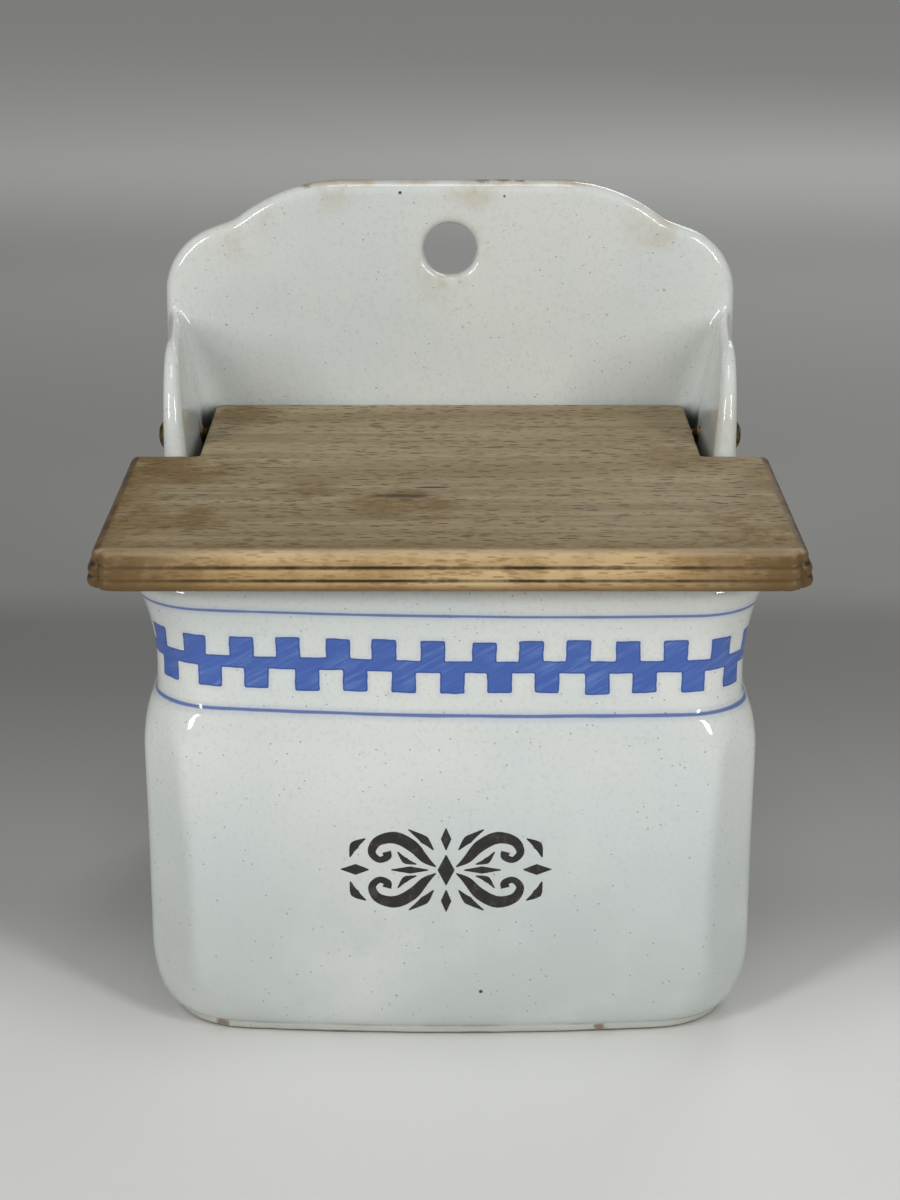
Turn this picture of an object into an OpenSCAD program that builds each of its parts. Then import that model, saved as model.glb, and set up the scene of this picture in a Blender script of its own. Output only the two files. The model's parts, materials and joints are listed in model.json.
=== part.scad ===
// Wall salt box: one glazed ceramic casting with a back plate, two ears and a hanging hole,
// and a beech lid that swings on two wood screws, one through each ear.
// Millimetres, +Z up, front towards -Y. The origin is the middle of the footprint, on the surface below.

/* [Box] */
// Width of the box at its belly
belly_w = 158.2; // [150:0.2:166]
// Depth of the box from the front of its belly to its back face
box_d = 152; // [140:1:170]
// Height of the rim that the lid lies on
rim_z = 126.9; // [120:0.5:150]
// Thickness of the ceramic wall
wall = 6.4; // [5:0.2:8]
// Thickness of the floor above the foot's recess
floor_t = 6.5; // [5:0.5:10]
// How far the front bows out between its corners
front_bow = 5; // [0:0.5:7]

/* [Foot] */
// Height of the upright foot band
foot_h = 3; // [2:0.5:6]
// How far the foot stands in from the belly
foot_in = 5.2; // [2:0.2:8]
// Height at which the lower curve meets the belly
belly_low_z = 22; // [16:1:35]
// Width of the unglazed ring that the box stands on
foot_ring = 7; // [5:0.5:12]
// Depth of the recess inside that ring
foot_recess = 1.6; // [0.5:0.1:3]

/* [Neck and rim] */
// Height at which the shoulder starts to curve in
shoulder_z = 78; // [65:1:84]
// Height of the sharp line between shoulder and neck
neck_z = 90.5; // [87:0.5:100]
// How far the neck stands in from the belly
neck_in = 3.3; // [2:0.1:6]
// Height at which the neck starts to flare out to the rim
cove_z = 98; // [94:1:108]
// Height of the widest part of the rim
lip_z = 121.2; // [114:0.2:124]
// How far the rim stands out past the belly
rim_out = 0.9; // [0:0.1:4]
// How far the rounded top of the rim runs in from its widest part
rim_round = 4; // [2:0.2:5]

/* [Corners] */
// Width of the canted front corners at the middle of the belly
cant = 12.6; // [8:0.2:18]
// Width of the cant at the top of the belly
cant_top = 10.6; // [8:0.2:18]
// Width of the cant in the neck and rim, where it is rounded away
cant_neck = 9.4; // [6:0.2:14]
// Width of the cant at the foot, where it is rounded away
cant_foot = 11; // [6:0.2:14]
// Share of the cant that its two creases are rounded over on the belly
crease_soft = 0.3; // [0.1:0.05:0.9]

/* [Back plate] */
// How far the back plate stands out past the belly on each side
plate_over = 4.5; // [3:0.1:12]
// Height of the back plate
plate_h = 202.6; // [190:1:240]
// Thickness of the back plate
plate_t = 7.4; // [6:0.2:10]
// Radius of the crest's long curves
crest_r = 50; // [35:1:60]
// Angle that each of them turns through
crest_turn = 38; // [30:1:42]
// Radius of the hollow between crest and shoulder
hollow_r = 8; // [5:1:14]
// Angle that the hollow turns back
hollow_turn = 17.5; // [10:0.5:24]
// Straight run between the hollow and the plate's shoulder
run_l = 7; // [3:0.5:12]
// Radius of the plate's shoulders
plate_shoulder_r = 20; // [14:1:26]
// Radius of the plate's lower corners
plate_foot_r = 11; // [6:1:16]
// Rounding of the plate's front edges
edge_front = 3.2; // [1:0.2:3.6]
// Rounding of the plate's back edges
edge_back = 1.8; // [0.6:0.2:2.8]
// Diameter of the hanging hole
hole_d = 15.6; // [10:0.2:20]
// Depth of the hanging hole's middle below the top of the plate
hole_drop = 20; // [15:0.5:30]
// Rounding of the hole's two lips
hole_lip = 1.8; // [0.6:0.2:2.4]

/* [Ears] */
// Reach of each ear in front of the back plate
ear_l = 60.2; // [55:0.5:66]
// Height of each ear above the rim
ear_h = 37.9; // [32:0.5:45]
// Thickness of each ear at its front
ear_t = 7.2; // [6:0.2:9]
// Extra thickness of each ear at the back plate
ear_taper = 2; // [0:0.2:4]
// Radius of the ear's upper front corner
ear_corner_r = 24; // [14:1:28]
// Rounding over the top of each ear
ear_nose = 4; // [2:0.5:6]
// Radius of the inside corner between ear and back plate, at the rim
ear_cove = 8.5; // [4:0.5:9]
// Radius of that inside corner at the ear's top
ear_cove_top = 3.5; // [2:0.5:5]

/* [Lid] */
// Thickness of the lid board
lid_t = 10; // [8:0.5:14]
// Overhang of the lid past the belly at the front and both sides
lid_over = 10.2; // [7:0.2:13]
// Width of the moulded edge, from the flat top to the outermost bead
mould_w = 3.6; // [3.6:0.1:5]
// Radius of the lid's front corners at the flat top
lid_corner = 1.6; // [1:0.1:6]
// Gap between the lid board and the rim
lid_gap = 0.2; // [0.1:0.1:0.6]
// Gap between each side of the lid's tongue and the ear beside it, at the notch
tongue_play = 2.9; // [2:0.1:4]
// Gap between the tongue's back edge and the back plate
tongue_gap = 2.2; // [1.8:0.1:4]
// Gap between the notches and the front of the ears
notch_gap = 1.5; // [1:0.1:3]
// Radius of the tongue's back corners
tongue_corner = 2; // [1:0.5:5]
// Radius in the inside corners of the notches
notch_fillet = 1.2; // [0.5:0.1:3]

/* [Hinge screws] */
// Distance from the back plate to the line of the screws
hinge_in = 18.7; // [17:0.1:22]
// Diameter of the plain shank
shank_d = 4.8; // [4:0.1:5.5]
// Diameter over the thread
thread_d = 4.6; // [3.8:0.1:5]
// Length of the screw under its head
screw_l = 32; // [26:1:40]
// Length of the threaded end with its point
thread_l = 22; // [16:1:22]
// Length of the gimlet point
point_l = 5; // [3:0.5:7]
// Diameter of the round head
head_d = 9.2; // [7.5:0.1:10]
// Height of the round head
head_h = 3; // [2.4:0.1:3.6]
// Width of the driver slot
slot_w = 1.2; // [0.8:0.1:1.6]
// Depth of the driver slot
slot_deep = 1.3; // [0.8:0.1:1.6]
// Clearance round the shank in the ear
shank_fit = 0.08; // [0.04:0.01:0.1]
// Clearance round the thread in the lid
thread_fit = 0.03; // [0.02:0.01:0.1]
// End play between each head and its ear
head_play = 0.25; // [0.1:0.05:0.6]
// Angle at which the right screw's slot has come to rest
slot_right = 25; // [0:5:175]
// Angle at which the left screw's slot has come to rest
slot_left = 130; // [0:5:175]

/* [Hidden] */

// Places worked out from the sizes above
plate_w = belly_w + 2 * plate_over;
depth = box_d + lid_over;
back_y = depth / 2;
front_y = back_y - box_d;
plate_y = back_y - plate_t;
hinge_y = plate_y - hinge_in;
lid_z = rim_z + lid_gap;
hinge_z = lid_z + lid_t / 2;
ear_top = rim_z + ear_h;
ear_y = plate_y - ear_l;
notch_y = ear_y - notch_gap;
tongue_y = plate_y - tongue_gap;
hole_z = plate_h - hole_drop;

// The sides run straight back, then spread to the back plate, which stands proud by a hair
plate_proud = 0.8;
spread = plate_over - plate_proud;
spread_y = front_y + 0.4 * box_d;
spread_power = 2.4;
cove_r = (pow(lip_z - cove_z, 2) + pow(neck_in + rim_out, 2)) / (2 * (neck_in + rim_out));

// The inside keeps this much clear of the back plate's plane, and rounds its back corners
inner_step = 0.9;
inner_back_r = 10;
// Radius of the curve between floor and inner walls
floor_r = 9;
// A chamfered corner loses this share of a wall's thickness when it is set in by that wall
cant_shrink = 2 - sqrt(2);

tongue_w = belly_w - 2 * (ear_t + tongue_play);
lid_w = belly_w + 2 * lid_over;
head_x = ear_outer(hinge_y) + head_play + head_d / 2 * ear_slope(hinge_y);
eps = 0.01;

function lerp(a, b, t) = a + (b - a) * t;
function clamp01(t) = min(1, max(0, t));
function mirror_x(p) = [-p[0], p[1]];
function reversed(list) = [for (i = [len(list) - 1:-1:0]) list[i]];
function bezier(a, b, c, t) = lerp(lerp(a, b, t), lerp(b, c, t), t);

// The place at y of a side that is half_w from the middle at the front. No side spreads past the plate's edge.
function spread_share(y) = pow(clamp01((y - spread_y) / (plate_y - spread_y)), spread_power);
function side_x(half_w, y) = half_w + min(spread, plate_w / 2 - plate_proud - half_w) * spread_share(y);
function ear_outer(y) = side_x(belly_w / 2, y);
function ear_slope(y) = (ear_outer(y + 1) - ear_outer(y - 1)) / 2;
function ear_thick(y) = ear_t + ear_taper * clamp01((y - ear_y) / ear_l);

// How far the outer wall stands in from the belly at height z
function inset_at(z) =
    z <= foot_h ? foot_in
    : z < belly_low_z ? foot_in * (1 - sqrt(1 - pow((belly_low_z - z) / (belly_low_z - foot_h), 2)))
    : z <= shoulder_z ? 0
    : z < neck_z ? neck_in * (1 - sqrt(1 - pow((z - shoulder_z) / (neck_z - shoulder_z), 2)))
    : z <= cove_z ? neck_in
    : z <= lip_z ? neck_in - cove_r + sqrt(pow(cove_r, 2) - pow(z - cove_z, 2))
    : rim_round * (1 - sqrt(1 - pow(min(1, (z - lip_z) / (rim_z - lip_z)), 2))) - rim_out;

// Width of the canted corners at height z, and the share of them that is rounded
function cant_at(z) = lookup(z, [
    [foot_h, cant_foot], [belly_low_z, cant], [lerp(belly_low_z, shoulder_z, 0.4), cant],
    [shoulder_z, cant_top], [neck_z, cant_neck]
]);
function soft_at(z) = lookup(z, [
    [foot_h, 1], [belly_low_z, crease_soft], [shoulder_z, crease_soft], [neck_z, 1]
]);

// One level section of the box: half of it, from the middle of the back round to the middle of the front.
// set_in is how far it stands in from the belly, c the width of its cant, soft the rounded share of the cant.
function half_section(set_in, c, soft, rear_y, rear_r) =
    let (
        a = belly_w / 2 - set_in,
        y0 = front_y + set_in,
        front_at = function (x) y0 + front_bow * pow(x / a, 2),
        cant_a = [a, front_at(a - c) + 1.1 * c],
        cant_b = [a - c, front_at(a - c)],
        half_cant = norm(cant_a - cant_b) / 2,
        f = half_cant * soft,
        u = (cant_b - cant_a) / (2 * half_cant),
        start_a = [a, cant_a[1] + f],
        end_b = [a - c - f, front_at(a - c - f)],
        rear_x = side_x(a, rear_y),
        side_y = min(plate_y, rear_y - rear_r - 2)
    )
    concat(
        [[0, rear_y]],
        [for (i = [0:4]) [rear_x - rear_r * (1 - sin(i * 22.5)), rear_y - rear_r * (1 - cos(i * 22.5))]],
        [for (i = [0:5]) let (y = lerp(side_y, start_a[1], i / 6)) [side_x(a, y), y]],
        [for (i = [0:4]) bezier(start_a, cant_a, cant_a + u * f, i / 4)],
        [for (i = [0:4]) bezier(cant_b - u * f * 0.98, cant_b, end_b, i / 4)],
        [for (i = [1:4]) let (x = end_b[0] * (1 - i / 5)) [x, front_at(x)]],
        [[0, y0]]
    );

// The whole section as a ring at height z, anticlockwise from above
function section(z, set_in, c, soft, rear_y, rear_r) =
    let (
        half = half_section(set_in, c, soft, rear_y, rear_r),
        ring = concat([for (p = half) mirror_x(p)], [for (i = [len(half) - 2:-1:1]) half[i]])
    )
    [for (p = ring) [p[0], p[1], z]];

// The skin between rings of equal length
function skin(n, last) = [
    for (i = [0:last - 1], j = [0:n - 1])
    let (k = (j + 1) % n, a = i * n, b = a + n)
    each [[a + j, b + j, b + k], [a + j, b + k, a + k]]
];

// A closed solid through broad rings, each end closed to its middle point
module loft(rings) {
    n = len(rings[0]);
    last = len(rings) - 1;
    points = concat([for (ring = rings) each ring], [middle(rings[0]), middle(rings[last])]);
    low = [for (j = [0:n - 1]) [(last + 1) * n, j, (j + 1) % n]];
    high = [for (j = [0:n - 1]) [(last + 1) * n + 1, last * n + (j + 1) % n, last * n + j]];
    polyhedron(points = points, faces = concat(skin(n, last), low, high), convexity = 8);
}

// The same through slender bent rings, each end closed across from side to side, starting at the tip
module slender_loft(rings) {
    n = len(rings[0]);
    last = len(rings) - 1;
    across = concat(
        [[n - 1, 0, 1]],
        [for (j = [1:(n - 3) / 2]) each [[n - j, j, j + 1], [n - j, j + 1, n - j - 1]]]
    );
    high = [for (f = across) [for (k = [2:-1:0]) f[k] + last * n]];
    polyhedron(points = [for (ring = rings) each ring], faces = concat(skin(n, last), across, high), convexity = 8);
}

function middle(ring) = let (
    low = [for (k = [0:2]) min([for (p = ring) p[k]])],
    high = [for (k = [0:2]) max([for (p = ring) p[k]])]
) (low + high) / 2;

// Heights at which the outer wall is drawn: close together where it curves
outer_heights = concat(
    [foot_h],
    [for (i = [1:5]) belly_low_z - (belly_low_z - foot_h) * cos(i * 15)],
    [belly_low_z, lerp(belly_low_z, shoulder_z, 0.4), lerp(belly_low_z, shoulder_z, 0.75)],
    [for (i = [0:5]) shoulder_z + (neck_z - shoulder_z) * sin(i * 16)],
    [neck_z, cove_z],
    [for (i = [1:5]) lerp(cove_z, lip_z, i / 5)],
    [for (i = [1:5]) lip_z + (rim_z - lip_z) * sin(i * 18)]
);
foot_edge = 1;

module outer_body() {
    rear_y = plate_y + plate_t / 2;
    function ring(z, extra) = section(z, inset_at(z) + extra, cant_at(z), soft_at(z), rear_y, 1);
    loft(concat(
        [ring(0, foot_edge), ring(foot_edge / 2, foot_edge / 4)],
        [for (z = outer_heights) ring(z, 0)]
    ));
}

// The salt space: the outer wall set in by the wall's thickness, with a rounded floor and a rounded mouth
module inner_space() {
    floor_z = foot_recess + floor_t;
    rear_y = plate_y - inner_step;
    mouth = 2.4;
    function set_in(z) = wall + (z <= belly_low_z ? 0 : min(inset_at(min(z, lip_z)), neck_in));
    function ring(z, extra) = section(
        z, set_in(z) + extra, max(3, cant_at(z) - cant_shrink * (wall + extra)), soft_at(z),
        rear_y - max(0, extra), inner_back_r
    );
    loft(concat(
        [for (i = [0:5]) ring(floor_z + floor_r * (1 - cos(i * 18)), floor_r * (1 - sin(i * 18)))],
        [for (z = [belly_low_z, lerp(belly_low_z, shoulder_z, 0.5)]) ring(z, 0)],
        [for (i = [0:2:4]) ring(shoulder_z + (neck_z - shoulder_z) * sin(i * 20), 0)],
        [ring(neck_z, 0), ring(cove_z, 0)],
        [for (i = [1:3]) ring(lerp(cove_z, rim_z - mouth, i / 3), 0)],
        [for (i = [1:3]) ring(rim_z - mouth * (1 - sin(i * 30)), -mouth * (1 - cos(i * 30)) / 2)],
        [ring(rim_z + 1, -mouth / 2)]
    ));
}

// The recess in the underside, inside the ring that the box stands on
module foot_hollow() {
    function ring(z, extra) = section(
        z, foot_in + foot_ring + extra, max(3, cant_foot - cant_shrink * foot_ring), 1,
        back_y - foot_ring - extra, 6
    );
    loft([ring(-1, -0.4), ring(0, 0), ring(foot_recess, foot_recess)]);
}

// Half of the plate's outline as a walk from the middle of its top: [x, z, heading] with 0 along +X.
// Each stretch is an arc or a line, and the flat at the crest takes up what is left of the width.
function arc_points(start, r, turn, steps) = [
    for (i = [1:steps])
    let (a = turn * i / steps, side = sign(turn), h = start[2])
    [
        start[0] + side * r * (-sin(h) + sin(h + a)),
        start[1] + side * r * (cos(h) - cos(h + a)),
        h + a
    ]
];
shoulder_turn = 90 - crest_turn + hollow_turn;
function turned_x(r, h0, h1) = r * abs(sin(h1) - sin(h0));
crest_flat = plate_w / 2 - turned_x(crest_r, 0, crest_turn)
    - turned_x(hollow_r, crest_turn, crest_turn - hollow_turn)
    - run_l * cos(crest_turn - hollow_turn)
    - turned_x(plate_shoulder_r, crest_turn - hollow_turn, 90);

function plate_half() =
    let (
        crest = concat([[crest_flat, plate_h, 0]], arc_points([crest_flat, plate_h, 0], crest_r, -crest_turn, 7)),
        hollow = arc_points(crest[len(crest) - 1], hollow_r, hollow_turn, 3),
        dip = hollow[len(hollow) - 1],
        run = [[dip[0] + run_l * cos(dip[2]), dip[1] + run_l * sin(dip[2]), dip[2]]],
        shoulder = arc_points(run[0], plate_shoulder_r, -shoulder_turn, 8),
        corner = [plate_w / 2, plate_foot_r, -90]
    )
    concat(crest, hollow, run, shoulder, [corner], arc_points(corner, plate_foot_r, -90, 5));

// The outline's ring, set in by s along its own normals, at distance y in front of the back face
function plate_ring(s, y) =
    let (
        half = [for (p = plate_half()) [p[0] + s * sin(p[2]), p[1] - s * cos(p[2]), y]],
        left = [for (p = half) [-p[0], p[1], p[2]]]
    )
    concat([[0, plate_h - s, y]], left, [[0, s, y]], reversed(half));

module back_plate() {
    back_steps = [for (i = [0:3]) let (a = i * 30) [edge_back * (1 - sin(a)), edge_back * (1 - cos(a))]];
    front_steps = [for (i = [0:4]) let (a = i * 22.5) [edge_front * (1 - cos(a)), plate_t - edge_front * (1 - sin(a))]];
    translate([0, back_y, 0])
        rotate([90, 0, 0])
            loft([for (s = concat(back_steps, front_steps)) plate_ring(s[0], s[1])]);
}

// One ear, drawn as level sections from inside the wall under the rim up to its rounded top.
// At its root it is pulled in on all sides, so that it grows out of the wall with a sloping underside.
ear_lean = 1.6;
ear_root = 9;
// The height above the rim at which an ear has its full thickness
ear_full = 0.6;
// How far its outer side, its inner side and its inside corner are pulled in at the root
root_in = [2.6, 3.6, 5];
// The share of its thickness that an ear keeps where its top closes
nose_least = 0.15;
ear_corner_y = ear_y + ear_lean + ear_corner_r;
function ear_front(z) =
    let (corner_z = ear_top - ear_corner_r)
    z < corner_z ? ear_y + ear_lean * clamp01((z - rim_z) / (corner_z - rim_z))
    : ear_corner_y - sqrt(max(0, pow(ear_corner_r, 2) - pow(z - corner_z, 2)));

function ear_ring(z, root) =
    let (
        nose = sqrt(1 - pow(clamp01((z - ear_top + ear_nose) / ear_nose), 2)),
        k = max(nose_least, nose),
        outer_in = root * root_in[0],
        inner_in = root * root_in[1],
        cove = k * lerp(ear_cove, ear_cove_top, clamp01((z - rim_z) / ear_h)) - root * root_in[2],
        half_front = k * ear_t / 2,
        y0 = ear_front(z) + half_front + outer_in,
        y1 = plate_y - cove,
        mid = function (y) ear_outer(y) - ear_thick(y) / 2 + (inner_in - outer_in) / 2,
        half_t = function (y) k * (ear_thick(y) - outer_in - inner_in) / 2,
        outer_at = function (y) mid(y) + half_t(y),
        inner_at = function (y) mid(y) - half_t(y),
        root_y = plate_y + plate_t / 2
    )
    concat(
        [for (i = [0:3]) let (a = i * 22.5) [mid(y0) + half_t(y0) * sin(a), y0 - half_front * cos(a), z]],
        [for (i = [0:9]) let (y = lerp(y0, plate_y, i / 9)) [outer_at(y), y, z]],
        [[outer_at(plate_y), root_y, z], [inner_at(plate_y) - cove, root_y, z]],
        [for (i = [0:4]) let (a = i * 22.5) [inner_at(y1) - cove * (1 - sin(a)), y1 + cove * cos(a), z]],
        [for (i = [1:4]) let (y = lerp(y1, y0, i / 4)) [inner_at(y), y, z]],
        [for (i = [1:4]) let (a = i * 18) [mid(y0) - half_t(y0) * cos(a), y0 - half_front * sin(a), z]]
    );

module ear() {
    nose_z = ear_top - ear_nose;
    corner_z = ear_top - ear_corner_r;
    slender_loft(concat(
        [ear_ring(rim_z - ear_root, 1), ear_ring(rim_z + ear_full, 0)],
        [for (i = [0:4]) ear_ring(corner_z + (nose_z - corner_z) * i / 4, 0)],
        [for (a = [20, 38, 54, 68, 80]) ear_ring(nose_z + ear_nose * sin(a), 0)]
    ));
}

// The hanging hole: a true bore with a rounded lip at each face
module hanging_hole() {
    r = hole_d / 2;
    translate([0, back_y, hole_z])
        rotate([90, 0, 0]) {
            translate([0, 0, -1])
                cylinder(h = plate_t + 2, r = r, $fn = 64);
            for (side = [0, 1])
                translate([0, 0, side * plate_t])
                    mirror([0, 0, side])
                        rotate_extrude($fn = 64)
                            difference() {
                                translate([r - eps, -eps])
                                    square([hole_lip + eps, hole_lip + eps]);
                                translate([r + hole_lip, hole_lip])
                                    circle(r = hole_lip, $fn = 48);
                            }
        }
}

// The holes through both ears for the hinge screws
module ear_holes() {
    for (side = [-1, 1])
        translate([side * belly_w / 2, hinge_y, hinge_z])
            rotate([0, 90, 0])
                cylinder(h = 4 * ear_t, r = shank_d / 2 + shank_fit, center = true, $fn = 48);
}

// Box, plate and ears as one fired piece
module casting() {
    difference() {
        outer_body();
        inner_space();
        foot_hollow();
    }
    back_plate();
    ear();
    mirror([1, 0, 0])
        ear();
}

module ceramic_box() {
    color([0.86, 0.88, 0.87])
        difference() {
            casting();
            hanging_hole();
            ear_holes();
        }
}

// The moulded edge: an upper round, a middle bead and a lower bead, with a sharp quirk between them.
// Drawn from the flat top's edge outwards, as drops from the top of the board.
module edge_profile() {
    upper_r = 0.22 * lid_t;
    middle_r = 0.165 * lid_t;
    lower_r = 0.175 * lid_t;
    square([mould_w - 2 * lower_r + 0.9, lid_t * 0.8]);
    square([mould_w - lower_r, lid_t * 0.4]);
    translate([0, lid_t - upper_r])
        circle(r = upper_r, $fn = 48);
    translate([mould_w - 0.3 - middle_r, 0.465 * lid_t])
        circle(r = middle_r, $fn = 48);
    translate([mould_w - lower_r, lower_r])
        circle(r = lower_r, $fn = 48);
}

// A strip or a corner of the moulded edge uses only what lies outside the flat top's edge
module edge_outer(reach) {
    intersection() {
        edge_profile();
        square([reach, lid_t]);
    }
}

// The board's flat top in plan: the wide front part with rounded corners, and the tongue between the ears
module lid_plan() {
    arris_x = lid_w / 2 - mould_w;
    arris_y = mould_w - depth / 2;
    translate([-arris_x, arris_y + lid_corner])
        square([2 * arris_x, notch_y - arris_y - lid_corner]);
    translate([lid_corner - arris_x, arris_y])
        square([2 * (arris_x - lid_corner), lid_corner + 1]);
    for (side = [-1, 1]) {
        translate([side * (arris_x - lid_corner), arris_y + lid_corner])
            circle(r = lid_corner, $fn = 48);
        translate([side * (tongue_w / 2 - tongue_corner), tongue_y - tongue_corner])
            circle(r = tongue_corner, $fn = 48);
        translate([side * tongue_w / 2, notch_y])
            notch_corner(side);
    }
    translate([-tongue_w / 2, notch_y - 1])
        square([tongue_w, tongue_y - notch_y + 1 - tongue_corner]);
    translate([tongue_corner - tongue_w / 2, notch_y])
        square([tongue_w - 2 * tongue_corner, tongue_y - notch_y]);
}

// The small round in the inside corner of a notch
module notch_corner(side) {
    difference() {
        translate([side > 0 ? -eps : -notch_fillet, -eps])
            square([notch_fillet + eps, notch_fillet + eps]);
        translate([side * notch_fillet, notch_fillet])
            circle(r = notch_fillet, $fn = 48);
    }
}

// The moulded edge round the front and both sides, turned at the two front corners
module lid_edge() {
    arris_x = lid_w / 2 - mould_w;
    arris_y = mould_w - depth / 2;
    corner_x = arris_x - lid_corner;
    corner_y = arris_y + lid_corner;
    translate([-corner_x, arris_y, 0])
        rotate([90, 0, 90])
            linear_extrude(height = 2 * corner_x)
                mirror([1, 0])
                    edge_outer(mould_w);
    for (side = [0, 1])
        mirror([side, 0, 0]) {
            translate([arris_x, notch_y, 0])
                rotate([90, 0, 0])
                    linear_extrude(height = notch_y - corner_y)
                        edge_outer(mould_w);
            translate([corner_x, corner_y, 0])
                rotate([0, 0, -90])
                    rotate_extrude(angle = 90, $fn = 96) {
                        square([lid_corner + eps, lid_t]);
                        translate([lid_corner, 0])
                            edge_outer(mould_w);
                    }
        }
}

// The hole that a screw's thread bites into, from the side of the tongue
module screw_pilot() {
    r = thread_d / 2 + thread_fit;
    tip_x = head_x - screw_l - thread_fit;
    translate([tip_x + point_l, hinge_y, hinge_z - lid_z])
        rotate([0, 90, 0])
            cylinder(h = tongue_w, r = r, $fn = 48);
    translate([tip_x - eps, hinge_y, hinge_z - lid_z])
        rotate([0, 90, 0])
            cylinder(h = point_l + 2 * eps, r1 = 0, r2 = r, $fn = 48);
}

module lid() {
    color([0.72, 0.58, 0.4])
        translate([0, 0, lid_z])
            difference() {
                union() {
                    linear_extrude(height = lid_t)
                        lid_plan();
                    lid_edge();
                }
                screw_pilot();
                mirror([1, 0, 0])
                    screw_pilot();
            }
}

// A round-head wood screw pointing down, with the underside of its head at the origin
module wood_screw() {
    head_r = head_d / 2;
    ball_r = (pow(head_r, 2) + pow(head_h, 2)) / (2 * head_h);
    core_l = screw_l - thread_l;
    difference() {
        union() {
            rotate_extrude($fn = 64)
                intersection() {
                    translate([0, head_h - ball_r])
                        circle(r = ball_r, $fn = 96);
                    square([head_r, head_h]);
                }
            translate([0, 0, -core_l])
                cylinder(h = core_l + eps, r = shank_d / 2, $fn = 48);
            translate([0, 0, point_l - screw_l])
                cylinder(h = thread_l - point_l + eps, r = thread_d / 2, $fn = 48);
            translate([0, 0, -screw_l])
                cylinder(h = point_l, r1 = 0.1, r2 = thread_d / 2, $fn = 48);
        }
        translate([-head_d, -slot_w / 2, head_h - slot_deep])
            cube([2 * head_d, slot_w, head_h]);
    }
}

module hinge_screw_right() {
    color([0.45, 0.38, 0.2])
        translate([head_x, hinge_y, hinge_z])
            rotate([0, 90, 0])
                rotate([0, 0, slot_right])
                    wood_screw();
}

module hinge_screw_left() {
    color([0.45, 0.38, 0.2])
        translate([-head_x, hinge_y, hinge_z])
            rotate([0, -90, 0])
                rotate([0, 0, slot_left])
                    wood_screw();
}

ceramic_box();
lid();
hinge_screw_left();
hinge_screw_right();
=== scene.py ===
import json
import math

import bmesh
import bpy
import numpy as np
from bpy.props import FloatProperty, FloatVectorProperty, IntProperty, PointerProperty
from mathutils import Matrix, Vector, noise
from mathutils.bvhtree import BVHTree


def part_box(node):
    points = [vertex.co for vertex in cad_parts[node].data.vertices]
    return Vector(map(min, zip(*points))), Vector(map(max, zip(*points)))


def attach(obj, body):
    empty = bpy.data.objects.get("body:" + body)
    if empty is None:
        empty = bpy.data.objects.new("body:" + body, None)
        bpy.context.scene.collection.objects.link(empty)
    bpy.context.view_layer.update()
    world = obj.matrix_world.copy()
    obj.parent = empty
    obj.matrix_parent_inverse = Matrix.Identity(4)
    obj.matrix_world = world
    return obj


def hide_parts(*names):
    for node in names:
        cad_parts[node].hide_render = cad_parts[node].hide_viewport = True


bl_info = {
    "name": "Wall salt box",
    "version": (1, 0, 0),
    "blender": (4, 5, 0),
    "location": "View3D > Sidebar > Salt box",
    "description": "Makes the glazed casting, its blue border, the beech lid, the screws and the studio",
    "category": "Add Mesh",
}

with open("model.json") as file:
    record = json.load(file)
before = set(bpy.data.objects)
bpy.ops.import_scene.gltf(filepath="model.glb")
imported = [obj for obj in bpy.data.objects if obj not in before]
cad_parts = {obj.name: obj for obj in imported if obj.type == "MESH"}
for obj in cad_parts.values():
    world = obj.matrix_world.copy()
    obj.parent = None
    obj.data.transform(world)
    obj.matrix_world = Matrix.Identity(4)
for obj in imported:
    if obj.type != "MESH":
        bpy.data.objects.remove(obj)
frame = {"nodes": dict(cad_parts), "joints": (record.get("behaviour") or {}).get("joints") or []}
MM = 0.001

# Boxes of the solids at rest, in millimetres: they place everything below
cast_high = np.array(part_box("ceramic_box")[1]) / MM
lid_low, lid_high = (np.array(v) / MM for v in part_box("lid"))
hinge = np.array(frame["joints"][0]["pos_m"]) / MM

# The box's own sizes, in millimetres, as the fired piece has them
BELLY_W, BOX_D = 158.2, 152.0
BACK_Y = cast_high[1]
FRONT_Y = BACK_Y - BOX_D
WALL, FLOOR_T, BOW = 6.4, 6.5, 5.0
FOOT_H, FOOT_IN, FOOT_RING, FOOT_RECESS, FOOT_CORNER = 3.0, 5.2, 7.0, 1.6, 6.0
BELLY_LOW, SHOULDER, NECK, COVE, LIP, RIM = 22.0, 78.0, 90.5, 98.0, 121.2, 126.9
NECK_IN, RIM_OUT, RIM_ROUND = 3.3, 0.9, 4.0
MOUTH_ROUND, MOUTH_OUT, BOTTOM_ROUND, INNER_CORNER = 2.4, 1.2, 9.0, 10.0
COVE_R = ((LIP - COVE) ** 2 + (NECK_IN + RIM_OUT) ** 2) / (2 * (NECK_IN + RIM_OUT))

# The front corners' cants and how soft their creases are, each by height
CANTS = ((FOOT_H, 11.0), (BELLY_LOW, 12.6), (44.4, 12.6), (SHOULDER, 10.6), (NECK, 9.4))
SOFTS = ((FOOT_H, 1.0), (BELLY_LOW, 0.3), (SHOULDER, 0.3), (NECK, 1.0))

# The back plate: arcs of its outline, and the rounds of its edges at the back and the front
PLATE_W, PLATE_H, PLATE_T = 167.2, cast_high[2], 7.4
PLATE_Y = BACK_Y - PLATE_T
CREST_R, HOLLOW_R, RUN, PLATE_SHOULDER_R, CORNER_R = 50.0, 8.0, 7.0, 20.0, 11.0
CREST_TURN, HOLLOW_TURN = math.radians(38), math.radians(17.5)
BACK_ROUND, FRONT_ROUND = 1.8, 3.2
HOLE_R, HOLE_LIP = 7.8, 1.8
HOLE_Z = PLATE_H - 20.0

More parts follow.
